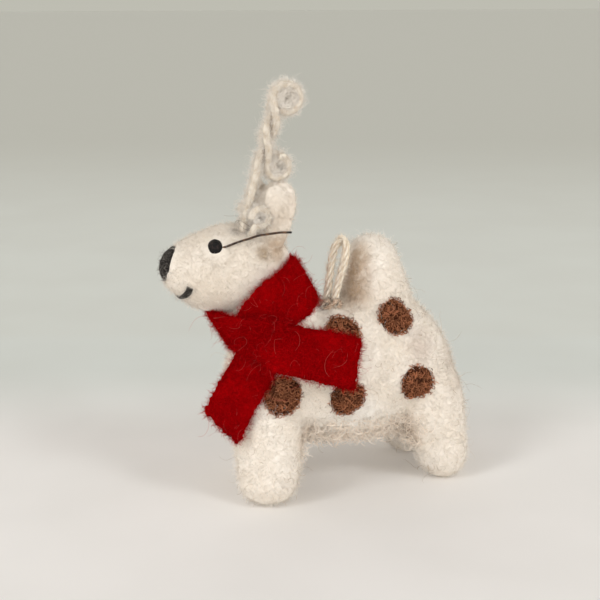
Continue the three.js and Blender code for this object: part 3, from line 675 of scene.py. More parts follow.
# Each row is a place and a reach in millimetres, a tint and how strongly it is laid on: painted shade,
# painted light and some soiling.
WOOL_PAINTED_LIGHT_SHADE_AND_DIRT = (
    # Painted shade: the head's duller tone and the ear; painted shade with some soiling at the feet of the
    # ear and the antler
    ((-28.0, 1.4, 71.0), 34.0, srgb(214, 200, 182), 0.42),
    ((-9.5, -6.0, 80.0), 12.0, srgb(212, 196, 178), 0.4),
    ((-13.0, -6.5, 70.5), 6.0, srgb(188, 158, 124), 0.75),
    ((-21.8, -8.5, 73.6), 2.4, srgb(120, 98, 74), 0.85),
    ((-17.6, -8.9, 70.4), 4.0, srgb(160, 134, 102), 0.9),
    ((-23.9, -3.6, 76.6), 3.2, srgb(104, 86, 68), 0.85),
    ((-17.1, -4.6, 76.9), 3.4, srgb(160, 136, 108), 0.7),
    # Painted red light, reflected from the scarf onto the wool beside it
    ((-14.6, -9.5, 63.0), 5.0, srgb(226, 166, 156), 0.45),
    # The warm shade behind the loop
    ((9.6, -4.0, 56.0), 8.0, srgb(170, 138, 102), 0.85),
    ((10.4, -4.0, 62.0), 7.5, srgb(170, 138, 102), 0.85),
    ((11.8, -3.5, 67.5), 6.0, srgb(178, 148, 114), 0.7),
    # Painted shade with some soiling inside the legs, painted light on the belly, painted shade on the rump
    # and the flank
    ((-6.5, -13.0, 18.0), 6.0, srgb(178, 146, 112), 0.6),
    ((24.0, -9.0, 14.0), 8.0, srgb(160, 124, 88), 0.75),
    ((8.0, -9.0, 18.0), 16.0, srgb(255, 252, 247), 0.85),
    ((41.0, -6.0, 30.0), 17.0, srgb(214, 198, 182), 0.5),
    ((26.8, -11.4, 40.5), 7.5, srgb(200, 182, 170), 0.6),
)
# The wool and its loose fibres carry the painted shade, painted light and soiling listed above.
wool = felt("wool_felt", srgb(246, 238, 228), srgb(236, 224, 209), srgb(251, 247, 240), marks=0.25,
            painted_light_shade_and_dirt=WOOL_PAINTED_LIGHT_SHADE_AND_DIRT)
wool_fibre = loose_fibre("loose_wool", srgb(236, 225, 211), srgb(251, 247, 241), painted_light_shade_and_dirt=WOOL_PAINTED_LIGHT_SHADE_AND_DIRT)
# Painted light: the belly's fringe is lighter and warmer than the other loose wool, against the shade under
# the belly.
fringe_fibre_painted_light = loose_fibre("belly_fringe_wool", srgb(255, 236, 217), srgb(255, 248, 238))
dark_hair = loose_fibre("dark_hair", srgb(96, 78, 62), srgb(150, 126, 102), 0.0)
stray_fibre = loose_fibre("stray_hair", srgb(138, 112, 86), srgb(212, 194, 170), 0.0)
spot_felt = felt("spot_felt", srgb(56, 23, 10), srgb(26, 10, 4), srgb(124, 72, 44), 0.8, 0.0,
                 srgb(200, 150, 120), 0.3, 0.8)
spot_fibre = loose_fibre("spot_fibre", srgb(38, 15, 6), srgb(216, 140, 100), 0.0, 0.1)
scarf_felt = felt("scarf_felt", srgb(162, 2, 6), srgb(120, 0, 3), srgb(182, 8, 14), 0.9, 0.0,
                  srgb(220, 60, 60), 0.16, 0.5, specular=0.0)
scarf_fibre = loose_fibre("scarf_fibre", srgb(116, 1, 4), srgb(202, 14, 20), 0.0, 0.0)
pale_curl = loose_fibre("pale_curl", srgb(158, 20, 24), srgb(206, 104, 94), 0.0)
black_wool = felt("black_wool", srgb(24, 20, 19), srgb(10, 8, 8), srgb(120, 114, 108), 0.6, 0.05,
                  srgb(120, 120, 120), 0.25, 0.7)
black_fibre = loose_fibre("black_fibre", srgb(2, 2, 2), srgb(170, 162, 154), 0.0, 0.1)
# Each crease tone is painted shade where strands lie close.
antler_yarn = spun("antler_yarn", srgb(210, 195, 174), srgb(229, 219, 204), srgb(244, 237, 226), 0.3, 1, 0.08,
                   crease=srgb(146, 116, 90))
antler_fibre = loose_fibre("antler_fluff", srgb(224, 213, 199), srgb(252, 248, 242))
twine = spun("twine", srgb(226, 206, 178), srgb(248, 238, 221), srgb(253, 249, 240), 0.3, 3, 0.1,
             crease=srgb(150, 118, 84))
knot_twine = spun("knot_twine", srgb(172, 132, 104), srgb(222, 196, 172), srgb(244, 228, 210), 0.6, 2, 0.1)
twine_fibre = loose_fibre("twine_fibre", srgb(232, 212, 184), srgb(253, 248, 239), 0.1)


def bead_finish():
    """The eye's bead: dark, grainy and half glossy."""
    material, tree, shader, coords = new_material("eye_bead", 0.55, specular=0.25)
    shade = mix_colors(tree, spread_range(tree, grain(tree, coords, 0.9, 3.0), 0.4, 0.7), srgb(8, 6, 6),
                       srgb(44, 34, 32))
    cover(tree, shader, shade, multiplied(tree, cells(tree, coords, 0.55, "F1"), -1.0), 0.25, 0.9)
    return material


def wire_finish():
    """Dark lacquered wire, worn brown in places, black at its tip."""
    material, tree, shader, coords = new_material("dark_wire", 0.5, specular=0.5)
    worn = grain(tree, coords, 1.2, 3.0)
    along = add_node(tree, "ShaderNodeSeparateXYZ", [(0, coords)]).outputs["X"]
    color = mix_colors(tree, spread_range(tree, worn, 0.45, 0.65), srgb(44, 28, 20), srgb(104, 72, 46))
    tip = spread_range(tree, along, -11.9 * MM, -11.5 * MM)
    cover(tree, shader, mix_colors(tree, tip, color, srgb(20, 15, 13)), worn, 0.05)
    return material


def bare_wire_finish():
    """Drawn steel wire, where the antler's yarn stops."""
    material, tree, shader, coords = new_material("bare_wire", 0.4, specular=0.5, metallic=0.8)
    drawn = grain(tree, coords, 0.4, 3.0)
    cover(tree, shader, mix_colors(tree, drawn, srgb(70, 58, 50), srgb(122, 110, 98)), drawn, 0.03)
    return material


bead = bead_finish()
wire = wire_finish()
bare_wire = bare_wire_finish()


# The hanging loop: plies of twine that rise from the knot, lean back on the tail and go down into it again

NODES = frame["nodes"]
LOOP_FOOT = mm(4.285, -2.169, 54.682)
LOOP_HEIGHT = 16.8
LOOP_WIDTH = 3.7
LOOP_LEAN = math.radians(12)
LOOP_TURN = math.radians(40)
LOOP_SHARES = ((-0.33, 0), (-0.34, 0.14), (-0.43, 0.4), (-0.5, 0.66), (-0.42, 0.86), (0, 1),
               (0.42, 0.86), (0.5, 0.66), (0.43, 0.4), (0.34, 0.14), (0.33, 0))
TWINE_WIDTH = 2.2
PLY_WIDTH = 0.5 * TWINE_WIDTH
PLY_REACH = 0.27 * TWINE_WIDTH
PLY_TURN = 9  # of twine to one turn of its plies
PLY_PHASES = (0.4, 2.5, 4.6)
TWINE_POINTS = 150
PLY_CREASE_SHADE = (0.35, 0.65)  # from the twine's middle, where the painted shade between plies is full and where it ends


def loop_route():
    lean = Vector((math.sin(LOOP_LEAN), 0, math.cos(LOOP_LEAN)))
    across = Vector((math.cos(LOOP_TURN), -math.sin(LOOP_TURN), 0))
    points = [LOOP_FOOT + (across * out * LOOP_WIDTH + (lean if rise else UP) * rise * LOOP_HEIGHT) * MM
              for out, rise in LOOP_SHARES]
    return catmull(points, TWINE_POINTS)


twine_line = loop_route()
ply_routes = [wound(twine_line, PLY_REACH * MM, PLY_TURN * MM, phase) for phase in PLY_PHASES]
ply_thick = [[1 + 0.35 * smooth_noise(p, 2.2, (k * 5.1, 0, 0)) for p in ply]
             for k, ply in enumerate(ply_routes)]
twine_loop = strand("twine_loop", ply_routes, PLY_WIDTH * MM, 12, twine, ply_thick)
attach(twine_loop, "hang_loop")
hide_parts("hang_loop")


def with_fleece(piece, values=None):
    """Marks where fibres may be planted on a piece: everywhere, unless shares are given."""
    set_share(piece.data, "fleece", np.ones(len(piece.data.vertices)) if values is None else values)
    return piece


with_fleece(twine_loop)
# The dark between the plies is painted shade.
inward = distances(points_of(twine_loop.data), as_array(twine_line)).min(axis=1)
deep, shallow = (reach * MM for reach in PLY_CREASE_SHADE)
set_share(twine_loop.data, "crease", 0.6 * (1 - smoothstep(deep, shallow, inward)))
for name, shapes, per_mm2, lengths, seed in (("loop_fray", short_shapes, 4.0, (0.8, 2.2), 21),
                                             ("loop_curls", curly_shapes, 2.2, (1.0, 2.8), 23)):
    fray = plant(name, twine_loop, twine_fibre, shapes, per_mm2, lengths, (0.8, 1.55), seed)
    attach(fray, "hang_loop")

# The tangle of thin twine at the loop's foot

KNOT_MIDDLE = mm(4.285, -2.169, 52.832)
KNOT_RADIUS = 2.0
KNOT_LOBE = 1.05
KNOT_TURNS = 2
KNOT_POINTS = 48
KNOT_PLY_WIDTH = 0.5
KNOT_PLY_REACH = 0.24
KNOT_PLY_TURN = 2.4


def knot_route(lobes, spread, shift):
    points = []
    for i in range(KNOT_POINTS):
        angle = 2 * math.pi * KNOT_TURNS * i / KNOT_POINTS + shift
        lobe = 2 * math.pi * lobes * i / KNOT_POINTS
        radius = (KNOT_RADIUS + KNOT_LOBE * math.cos(lobe)) * spread
        points.append(KNOT_MIDDLE + mm(math.cos(angle) * radius, math.sin(angle) * radius,
                                       KNOT_LOBE * math.sin(lobe)))
    return catmull(points, 5 * KNOT_POINTS, closed=True)


knot_lines = [knot_route(3, 1.0, 0.0), knot_route(5, 0.85, 1.9)]
knot_plies = [wound(line, KNOT_PLY_REACH * MM, KNOT_PLY_TURN * MM, phase)
              for line in knot_lines for phase in (0.0, math.pi)]
twine_tangle = with_fleece(strand("twine_tangle", knot_plies, KNOT_PLY_WIDTH * MM, 8, knot_twine))
tangle_fray = plant("tangle_fray", twine_tangle, twine_fibre, curly_shapes, 2.0, (1.0, 3.5), (0.6, 1.5), 22)
for piece in (twine_tangle, tangle_fray):
    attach(piece, "deer")
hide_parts("loop_knot")


# The wool: each soft form is one skin over the CAD pieces that it stands for

EAR_LET_OUT = 0.6  # more than the other wool, because the ears are thin
RAGGED_HEIGHTS = (9, 12, 19, 24)  # where the belly's ragged wool begins, is full, thins out and ends
# How high and how wide the wool's unevenness is, on all of it and where it is ragged
WOOL_LUMPS = ((0.45, 8), (0.17, 3.2), (0.13, 1.1))
RAGGED_LUMPS = ((0.9, 3.6), (0.5, 1.6))


def uneven_wool(co, layers, seed):
    """Layers of lumps, each with a height and a width in millimetres and a seed of its own."""
    return sum(high * lumps(co, wide, seed + i) for i, (high, wide) in enumerate(layers))


def felted(name, sources, fillers, swell, cell, seed):
    """One soft skin over CAD pieces, let out by a swell, and over oval fillers. Cell is its fineness."""
    whole = bmesh.new()
    for source in sources:
        part = bmesh.new()
        part.from_mesh(NODES[source].data)
        bmesh.ops.remove_doubles(part, verts=part.verts, dist=0.005 * MM)
        part.normal_update()
        for vertex in part.verts:
            vertex.co += vertex.normal * (swell + EAR_LET_OUT * source.endswith("ear")) * MM
        held = mesh_from("held", part)
        whole.from_mesh(held)
        bpy.data.meshes.remove(held)
    for middle, radii in fillers:
        shape = Matrix.Translation(mm(*middle)) @ Matrix.Diagonal((*mm(*radii), 1))
        bmesh.ops.create_uvsphere(whole, u_segments=24, v_segments=16, radius=1, matrix=shape)
    block = add_object(name, mesh_from(name, whole))
    skin = block.modifiers.new("skin", "REMESH")
    skin.mode = "VOXEL"
    skin.voxel_size = cell * MM
    soft = block.modifiers.new("soft", "SMOOTH")
    soft.factor = 0.5
    soft.iterations = 5
    mesh = evaluated_mesh(block)
    co, normal = points_of(mesh), normals_of(mesh)
    relief = uneven_wool(co, WOOL_LUMPS, seed)
    begins, full, thins, ends = (height * MM for height in RAGGED_HEIGHTS)
    ragged = (smoothstep(0.0, 0.5, -normal[:, 2]) * smoothstep(begins, full, co[:, 2])
              * smoothstep(ends, thins, co[:, 2]))
    relief += ragged * uneven_wool(co, RAGGED_LUMPS, seed + len(WOOL_LUMPS))
    let_out(mesh, relief)
    co = points_of(mesh)
    co[:, 2] = np.maximum(co[:, 2], 0.0)
    set_points(mesh, co)
    return place(name, mesh, wool)


BODY_NODES = ("torso", "neck", "tail", "left_front_leg", "right_front_leg", "left_hind_leg", "right_hind_leg")
HEAD_NODES = ("head", "left_ear", "right_ear")
SIDES = (("left", 1), ("right", -1))
# Each filler is an oval's middle and its half sizes: one rounds each ear's back, one fills the knot's dimple
EAR_FILLERS = [((-13.4, MIDDLE_Y - sign * 6.6, 82.6), (3.2, 1.8, 5.2)) for _, sign in SIDES]
KNOT_FILLERS = [((4.285, -2.169, 50.1), (4.2, 4.2, 1.9))]
SWELL = 0.3
felt_body = felted("felt_body", BODY_NODES, KNOT_FILLERS, SWELL, 0.6, 1)
felt_head = felted("felt_head", (*HEAD_NODES, "left_antler_stem", "right_antler_stem"), EAR_FILLERS, SWELL,
                   0.5, 2)
for piece, stands_for in ((felt_body, BODY_NODES), (felt_head, HEAD_NODES)):
    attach(piece, "deer")
    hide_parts(*stands_for)
body_ground = tree_of(felt_body)
head_ground = tree_of(felt_head)


# Patches: thin domed pieces that lie on the wool, such as the spots and the nose

# Each row is the middle of a spot on the left side and the way that it faces
SPOTS = (
    ((20.914, -9.108, 48.662), (-0.02, -0.705, 0.708)),
    ((25.537, -14.072, 30.786), (0.053, -0.994, -0.101)),
    ((3.94, -14.195, 28.9), (-0.019, -0.994, -0.108)),
    ((4.078, -10.379, 46.12), (-0.045, -0.845, 0.533)),
    ((-14.138, -11.888, 31.483), (-0.352, -0.931, -0.099)),
)
SPOT_RADIUS = 4.9
SPOT_HEIGHT = 0.85
PATCH_RINGS, PATCH_SIDES = 14, 72
PATCH_SINK = 0.5  # how far a patch's underside lies in the wool
PATCH_RAY = 9  # how far out the search for the wool under a patch starts


def patch(name, middle, way, ground, half_width, half_height, height, seed, material):
    """A felt patch with an uneven outline, laid on the wool under it."""
    way = way.normalized()
    side = UP.cross(way).normalized()
    rise = way.cross(side)

    def point_pair(across, high, share):
        start = middle + side * across * half_width * MM + rise * high * half_height * MM
        hit, normal, _, _ = ground.ray_cast(start + way * PATCH_RAY * MM, -way)
        hit, normal = (hit, normal) if hit else (start, way)
        grainy = smooth_noise(hit, 1.5) * 0.22 + smooth_noise(hit, 0.7) * 0.1
        top = height * (1 - share ** 5) ** 0.5 + grainy * (1 - share ** 8) + 0.05
        return hit + normal * top * MM, hit - normal * PATCH_SINK * MM

    pairs = []
    for ring in range(1, PATCH_RINGS + 1):
        share = ring / PATCH_RINGS
        for k in range(PATCH_SIDES):
            angle = 2 * math.pi * k / PATCH_SIDES
            turn = Vector((math.cos(angle), math.sin(angle), 0))
            uneven = 1 + 0.09 * noise.noise(turn * 1.2 + Vector((0, 0, seed))) \
                + 0.06 * noise.noise(turn * 4.5 + Vector((0, 0, seed + 9)))
            pairs.append(point_pair(turn.x * share * uneven, turn.y * share * uneven, share))
    count = len(pairs)
    vertices = [top for top, _ in pairs] + [under for _, under in pairs] + list(point_pair(0, 0, 0))
    faces = []
    for k in range(PATCH_SIDES):
        n = (k + 1) % PATCH_SIDES
        faces.append((2 * count, k, n))
        faces.append((2 * count + 1, count + n, count + k))
        for ring in range(PATCH_RINGS - 1):
            a, b = ring * PATCH_SIDES + k, ring * PATCH_SIDES + n
            c, d = a + PATCH_SIDES, b + PATCH_SIDES
            faces.append((a, c, d, b))
            faces.append((count + a, count + b, count + d, count + c))
        a, b = (PATCH_RINGS - 1) * PATCH_SIDES + k, (PATCH_RINGS - 1) * PATCH_SIDES + n
        faces.append((a, count + a, count + b, b))
    made = mesh_object(name, vertices, faces, material)
    shares = np.zeros(len(vertices))
    shares[:count] = 1
    shares[2 * count] = 1
    return with_fleece(made, shares)


spot_places = []
for side, sign in SIDES:
    spots = []
    for number, (middle, way) in enumerate(SPOTS, 1):
        middle = mm(middle[0], MIDDLE_Y + sign * (middle[1] - MIDDLE_Y), middle[2])
        way = Vector((way[0], sign * way[1], way[2]))
        spot_places.append(middle)
        spot = patch(f"{side}_felt_spot_{number}", middle, way, body_ground, SPOT_RADIUS, SPOT_RADIUS,
                     SPOT_HEIGHT, number * 3.7 + (sign < 0) * 31, spot_felt)
        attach(spot, "deer")
        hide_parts(f"{side}_spot_{number}")
        spots.append(spot)
    for number, spot in enumerate(spots, 1):
        curls = plant(f"{side}_spot_curls_{number}", spot, spot_fibre, thick_curl_shapes, 4.5, (1.4, 3.4),
                      (0.95, 1.6), 30 + number)
        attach(curls, "deer")

# Face

NOSE_POINT, NOSE_WAY = mm(-42.513, MIDDLE_Y, 68.161), Vector((-0.873, -0.068, 0.483))
nose_patch = patch("nose_patch", NOSE_POINT, NOSE_WAY, head_ground, 2.9, 4.6, 0.55, 5.1, black_wool)
nose_fibres = plant("nose_fibres", nose_patch, black_fibre, short_shapes, 3.0, (0.9, 2.2), (1.1, 1.55), 41)
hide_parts("nose")

MOUTH_MIDDLE = mm(-37.7, MIDDLE_Y, 65.91)
MOUTH_WIDTH = 1.8
MOUTH_ENDS = 60  # degrees each way from straight down
MOUTH_POINTS = 90
MOUTH_RAY = 20  # how far out the search for the wool under the mouth starts
mouth_points = []
for degrees in range(-MOUTH_ENDS, MOUTH_ENDS + 1, 10):
    angle = math.radians(degrees)
    way = Vector((0, math.sin(angle), -math.cos(angle)))
    start = MOUTH_MIDDLE + way * MOUTH_RAY * MM - BACK * math.cos(angle) ** 4 * MM
    hit, _, _, _ = head_ground.ray_cast(start, -way)
    mouth_points.append(hit + way * (0.1 - 0.75 * math.cos(angle) ** 3) * MM)
mouth_line = catmull(mouth_points, MOUTH_POINTS)
mouth_thick = [0.95 + 0.25 * smooth_noise(p, 2.2) - 0.42 * math.sin(math.pi * i / (MOUTH_POINTS - 1)) ** 3
               for i, p in enumerate(mouth_line)]
mouth_thick[0] = mouth_thick[-1] = 0.6
mouth_roll = with_fleece(strand("mouth_roll", [mouth_line], MOUTH_WIDTH * MM, 16, black_wool, [mouth_thick]))
mouth_fibres = plant("mouth_fibres", mouth_roll, black_fibre, curly_shapes, 2.0, (1.0, 2.2), (0.9, 1.5), 42)
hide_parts("mouth")
for piece in (nose_patch, nose_fibres, mouth_roll, mouth_fibres):
    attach(piece, "deer")

EYE_SIZES = mm(2.2, 2.4, 2.6)
EYE_DROP = 0.25
EYE_PLACES = {"left": mm(-30.37, -4.634, 71.889), "right": mm(-30.373, 7.335, 71.888)}
for side, middle in EYE_PLACES.items():
    ball = bmesh.new()
    shape = Matrix.Translation(middle - UP * EYE_DROP * MM) @ Matrix.Diagonal((*EYE_SIZES, 1))
    bmesh.ops.create_icosphere(ball, subdivisions=5, radius=1, matrix=shape)
    mesh = mesh_from(f"{side}_bead", ball)
    let_out(mesh, 0.09 * lumps(points_of(mesh), 0.8, 3))
    eye = place(f"{side}_bead", mesh, bead)
    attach(eye, "deer")
    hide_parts(f"{side}_eye")

EYE_WIRE_LENGTH = 20
EYE_WIRE_WIDTH = 0.6
EYE_WIRE_POINTS = 80
# Each row is a point of the wire: shares of its length back, up and out from the bead's middle
EYE_WIRE_SHARES = ((0.06, 0.01, 0.07), (0.12, 0.03, 0.105), (0.2, 0.062, 0.13), (0.33, 0.1, 0.145),
                   (0.42, 0.12, 0.15), (0.55, 0.155, 0.165), (0.66, 0.165, 0.175), (0.84, 0.18, 0.2),
                   (1, 0.175, 0.22))
wire_line = catmull([EYE_PLACES["left"] + mm(behind, -out, rise) * EYE_WIRE_LENGTH
                     for behind, rise, out in EYE_WIRE_SHARES], EYE_WIRE_POINTS)
wire_thick = [1.05 + 0.25 * smooth_noise(p, 0.9) + 0.9 * smoothstep(0.93, 0.97, i / (EYE_WIRE_POINTS - 1))
              * (1 + 0.4 * smooth_noise(p, 0.5)) for i, p in enumerate(wire_line)]
wire_thick[-1] = 0.9
eye_wire = strand("eye_wire", [wire_line], EYE_WIRE_WIDTH * MM, 12, wire, [wire_thick])
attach(eye_wire, "deer")
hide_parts("left_eye_wire")


# Antlers: each is one yarn-wrapped wire, repeated here from its formulas, with a tine beside its foot

ANTLER_FEET = {"left": mm(-20.717, -2.389, 75.363), "right": mm(-18.32, 5.091, 74.841)}
ANTLER_HEIGHT = 34.8
STRAND = 1.7
STRAND_GAP = 0.65
TWIST = (STRAND + STRAND_GAP) / 2
RING_RADIUS = 3.7
CURL_RADIUS = 2.9
CURL_SHARE = 0.525  # of the height, where the returning strand leaves the twist
TINE_RADIUS = 2.4
TINE_BACK, TINE_RISE = 0.075, 0.115  # shares of the antler's height
BACK_SHARES = (0, 0.07, 0.135, 0.2, 0.265)
# Degrees at which each ring starts and ends
RING_ARC, CURL_ARC, TINE_ARC = (154, -112), (180, 450), (-112, 180)
ANTLER_POINTS = 460
TINE_POINTS = 90


def spaced(count, start, end):
    return [start + (end - start) * i / (count - 1) for i in range(count)]


def antler_parts(side):
    """The antler's route, the tine's, and the middles and radii of the rings that they turn."""
    out = Vector((0, -1 if side == "left" else 1, 0))
    foot = ANTLER_FEET[side]

    def at(behind, rise, outward):
        return foot + (BACK * behind + UP * rise + out * outward) * MM

    stations = [Vector((share * ANTLER_HEIGHT, rise, 0))
                for share, rise in zip(BACK_SHARES, spaced(len(BACK_SHARES), 0, ANTLER_HEIGHT))]

    def twisted(share, phase):
        angle = phase + 2 * math.pi * max(0.0, (share - CURL_SHARE) / (1 - CURL_SHARE))
        middle = curve_point(stations, share)
        return at(middle.x + math.cos(angle) * TWIST, middle.y, math.sin(angle) * TWIST)

    def arc(behind, rise, radius, angles, drift):
        return [at(behind + math.cos(math.radians(a)) * radius, rise + math.sin(math.radians(a)) * radius,
                   drift * i / (len(angles) - 1)) for i, a in enumerate(angles)]

    tip = curve_point(stations, 1)
    curl_foot = curve_point(stations, CURL_SHARE)
    ring_behind = tip.x - TWIST + RING_RADIUS
    curl_behind, curl_rise = curl_foot.x + TWIST + CURL_RADIUS, curl_foot.y - CURL_RADIUS / 2
    points = [at(-TWIST, -STRAND, 0), *(twisted(t, math.pi) for t in spaced(12, 0.03, 1)),
              *arc(ring_behind, tip.y, RING_RADIUS, spaced(13, *RING_ARC), 0),
              *(twisted(t, 0) for t in spaced(6, 0.9, CURL_SHARE + 0.04)),
              *arc(curl_behind, curl_rise, CURL_RADIUS, spaced(10, *CURL_ARC), 0.5 * STRAND)]
    tine_behind, tine_rise = TINE_BACK * ANTLER_HEIGHT, TINE_RISE * ANTLER_HEIGHT
    tine = []
    for i, angle in enumerate(spaced(13, *TINE_ARC)):
        turn = math.radians(angle)
        tine.append(at(tine_behind + math.cos(turn) * TINE_RADIUS, tine_rise + math.sin(turn) * TINE_RADIUS,
                       (1.7 + 0.5 * i / 12) * STRAND))
    tine.insert(0, tine[0] + (UP * -2.1 - BACK) * STRAND * MM)
    rings = [(at(ring_behind, tip.y, 0), RING_RADIUS), (at(curl_behind, curl_rise, 0.4), CURL_RADIUS),
             (at(tine_behind, tine_rise, 3.0), TINE_RADIUS)]
    return catmull(points, ANTLER_POINTS), catmull(tine, TINE_POINTS), rings


def shaggy(piece, seed):
    """Roughens a wound strand: low lumps, and the ridges where its yarn passes round the wire."""
    mesh = piece.data
    co = points_of(mesh)
    ridges = np.sin(2 * np.pi * (share_of(mesh, "along") / MM * 0.45 + 2 * share_of(mesh, "around")))
    let_out(mesh, 0.12 + 0.02 * ridges + 0.16 * lumps(co, 1.6, seed) + 0.08 * lumps(co, 0.6, seed + 1))
    return piece


OWN_STRETCH = 30  # points of a strand that count as one stretch, too close to press on itself
YARN_CREASE_SHADE = (1.35, 2.0)  # from another strand's middle, where the painted shade beside it is full and where it ends


def set_crease_shade(piece, line, other):
    """Marks the painted shade where a wound strand lies against another part of itself or against another
    strand.
    """
    co, route = points_of(piece.data), as_array(line)
    number = np.argmin(((co[:, None, :] - route[None, ::4, :]) ** 2).sum(axis=2), axis=1) * 4
    steps = np.abs(number[:, None] - np.arange(len(route))[None, :])
    gap = np.where(steps > OWN_STRETCH, distances(co, route), 1.0).min(axis=1)
    gap = np.minimum(gap, distances(co, as_array(other)).min(axis=1))
    deep, shallow = (reach * MM for reach in YARN_CREASE_SHADE)
    set_share(piece.data, "crease", 1 - smoothstep(deep, shallow, gap))


WISP_WIDTH = 0.17
WISP_POINTS = 9


def wisps(name, rings, count, material, seed):
    """Thin curled wisps of loose yarn that fill the rings, more in the wider ones, each of its own tone."""
    chance = random.Random(seed)
    routes = []
    for middle, radius in rings:
        for _ in range(int(count * (radius / RING_RADIUS) ** 1.5)):
            angle = chance.uniform(0, 2 * math.pi)
            turn = chance.uniform(1.5, 5.5) * chance.choice((-1, 1))
            start = chance.uniform(0.55, 1.0) * radius
            end = chance.uniform(0.1, 0.9) * radius
            depth, tilt = chance.uniform(-0.8, 0.8), chance.uniform(-0.3, 0.3)
            points = []
            for i in range(WISP_POINTS):
                share = i / (WISP_POINTS - 1)
                reach = start + (end - start) * share + 0.3 * math.sin(share * 7 + angle)
                a = angle + turn * share * 0.6
                points.append(middle + (BACK * math.cos(a) * reach + UP * math.sin(a) * reach
                                        + RIGHT * (depth + tilt * math.sin(share * 5))) * MM)
            routes.append(catmull(points, WISP_POINTS + 1))
    piece = strand(name, routes, WISP_WIDTH * MM, 3, material)
    set_share(piece.data, "tone", 0.5 + 0.5 * lumps(points_of(piece.data), 2.0, seed))
    return piece


for number, (side, _) in enumerate(SIDES):
    antler_line, tine_line, rings = antler_parts(side)
    # The yarn is wound thicker near the antler's foot
    foot_shares = (1 - smoothstep(0.17, 0.23, i / (ANTLER_POINTS - 1)) for i in range(ANTLER_POINTS))
    antler_thick = [1 + 0.1 * smooth_noise(p, 3) + 0.45 * near for p, near in zip(antler_line, foot_shares)]
    tine_thick = [1 + 0.1 * smooth_noise(p, 3) for p in tine_line]
    parts = (("antler", antler_line, antler_thick, 50), ("tine", tine_line, tine_thick, 54))
    wound_antler, wound_tine = (
        shaggy(strand(f"{side}_wound_{part}", [line], STRAND * MM, 16, antler_yarn, [thick]), seed + number)
        for part, line, thick, seed in parts)
    # Painted shade where the strands lie close to themselves or to each other
    set_crease_shade(wound_antler, antler_line, tine_line)
    set_crease_shade(wound_tine, tine_line, antler_line)
    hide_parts(f"{side}_antler")
    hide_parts(f"{side}_antler_tine")
    fluff = []
    for piece in (wound_antler, wound_tine):
        with_fleece(piece, 1 - 0.8 * share_of(piece.data, "crease"))
    for kind, *choices, seed in (("fuzz", short_shapes, 9.0, (0.7, 2.4), (0.2, 1.4), 60),
                                 ("curls", curly_shapes, 2.0, (1.6, 4.4), (0.5, 1.5), 66)):
        fluff += [plant(f"{piece.name}_{kind}", piece, antler_fibre, *choices, seed + number)
                  for piece in (wound_antler, wound_tine)]
    filling = wisps(f"{side}_antler_wisps", rings, 420, antler_fibre, 70 + number)
    for piece in (wound_antler, wound_tine, *fluff, filling):
        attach(piece, "deer")
    NODES[f"{side}_antler_stem"].data.materials.clear()
    NODES[f"{side}_antler_stem"].data.materials.append(bare_wire)


# The scarf: one felt strip from its front end, round the neck and over itself, to its rear end

COLLAR_MIDDLE = mm(-14.963, MIDDLE_Y, 54.148)
NECK_AXIS = Vector((-0.5, 0, 0.8660254))
NECK_FRONT = Vector((-0.8660254, 0, -0.5))
SIDEWAYS = NECK_AXIS.cross(NECK_FRONT)
NECK_WIDTH = 24
SCARF_THICK = 2.0
SCARF_WIDTH = 12.5
SCARF_GAP = 0.3
# Each row is a turn round the neck from its front, shares of the neck's width along it, the layer, how far it
# stands off as a share of that width, and the millimetres that the upper edge is let out
COLLAR_ROWS = (
    (0.155, -0.09, 0, 0.02, 0.6),
    (0.235, 0.05, 0, 0.01, 2.0),
    (0.32, 0.03, 0, 0, 2.4),
    (0.41, -0.01, 0, 0, 1.8),
    (0.5, -0.03, 0, 0.01, 0.6),
    (0.62, 0, 0, 0, 0),
    (0.75, 0.01, 0, 0, 0),
    (0.88, 0.03, 0, 0, 0),
    (1, 0.04, 0, 0.01, 0),
    (1.065, 0.06, 0.5, 0.02, 0),
    (1.12, 0.02, 1, 0.05, 0),
    (1.175, -0.15, 1, 0.05, 0),
)
FRONT_HINGE = mm(-21.175, -8.089, 38.922)
FRONT_HEADING = Vector((-0.47, -0.07, -0.88)).normalized()
FRONT_FACING = Vector((-0.578, -0.729, 0.367)).normalized()
FRONT_ACROSS = FRONT_HEADING.cross(FRONT_FACING).normalized()
FRONT_LENGTH = 18.4
FRONT_WIDTH = 12.2
FRONT_SLANT = 0.27  # of the width, how far the cut end slants
FRONT_LEAN = 0.12  # of the width, how far the end lies to one side
REAR_HINGE = mm(-12.472, -15.479, 44.502)
REAR_HEADING = Vector((0.953, -0.03, -0.3)).normalized()
REAR_FACING = Vector((0.063, -0.953, 0.297)).normalized()
REAR_LENGTH = 19.5
BEFORE_HINGE = 3.3  # where each end's row before its hinge lies
REAR_WIDTHS = (13, 13.8, 14)  # at the rear end's hinge, its middle and its cut
REAR_ROOT_WIDTH = 12.7
END_BOW = 0.05  # of an end's length, how far its middle bows out


def neck_place(turn, along, layer, stand):
    angle = 2 * math.pi * turn
    radial = NECK_FRONT * math.cos(angle) + SIDEWAYS * math.sin(angle)
    distance = (NECK_WIDTH / 2 + SCARF_GAP + SCARF_THICK / 2 + layer * (SCARF_THICK + SCARF_GAP)
                + stand * NECK_WIDTH)
    return COLLAR_MIDDLE + (NECK_AXIS * along * NECK_WIDTH + radial * distance) * MM, radial


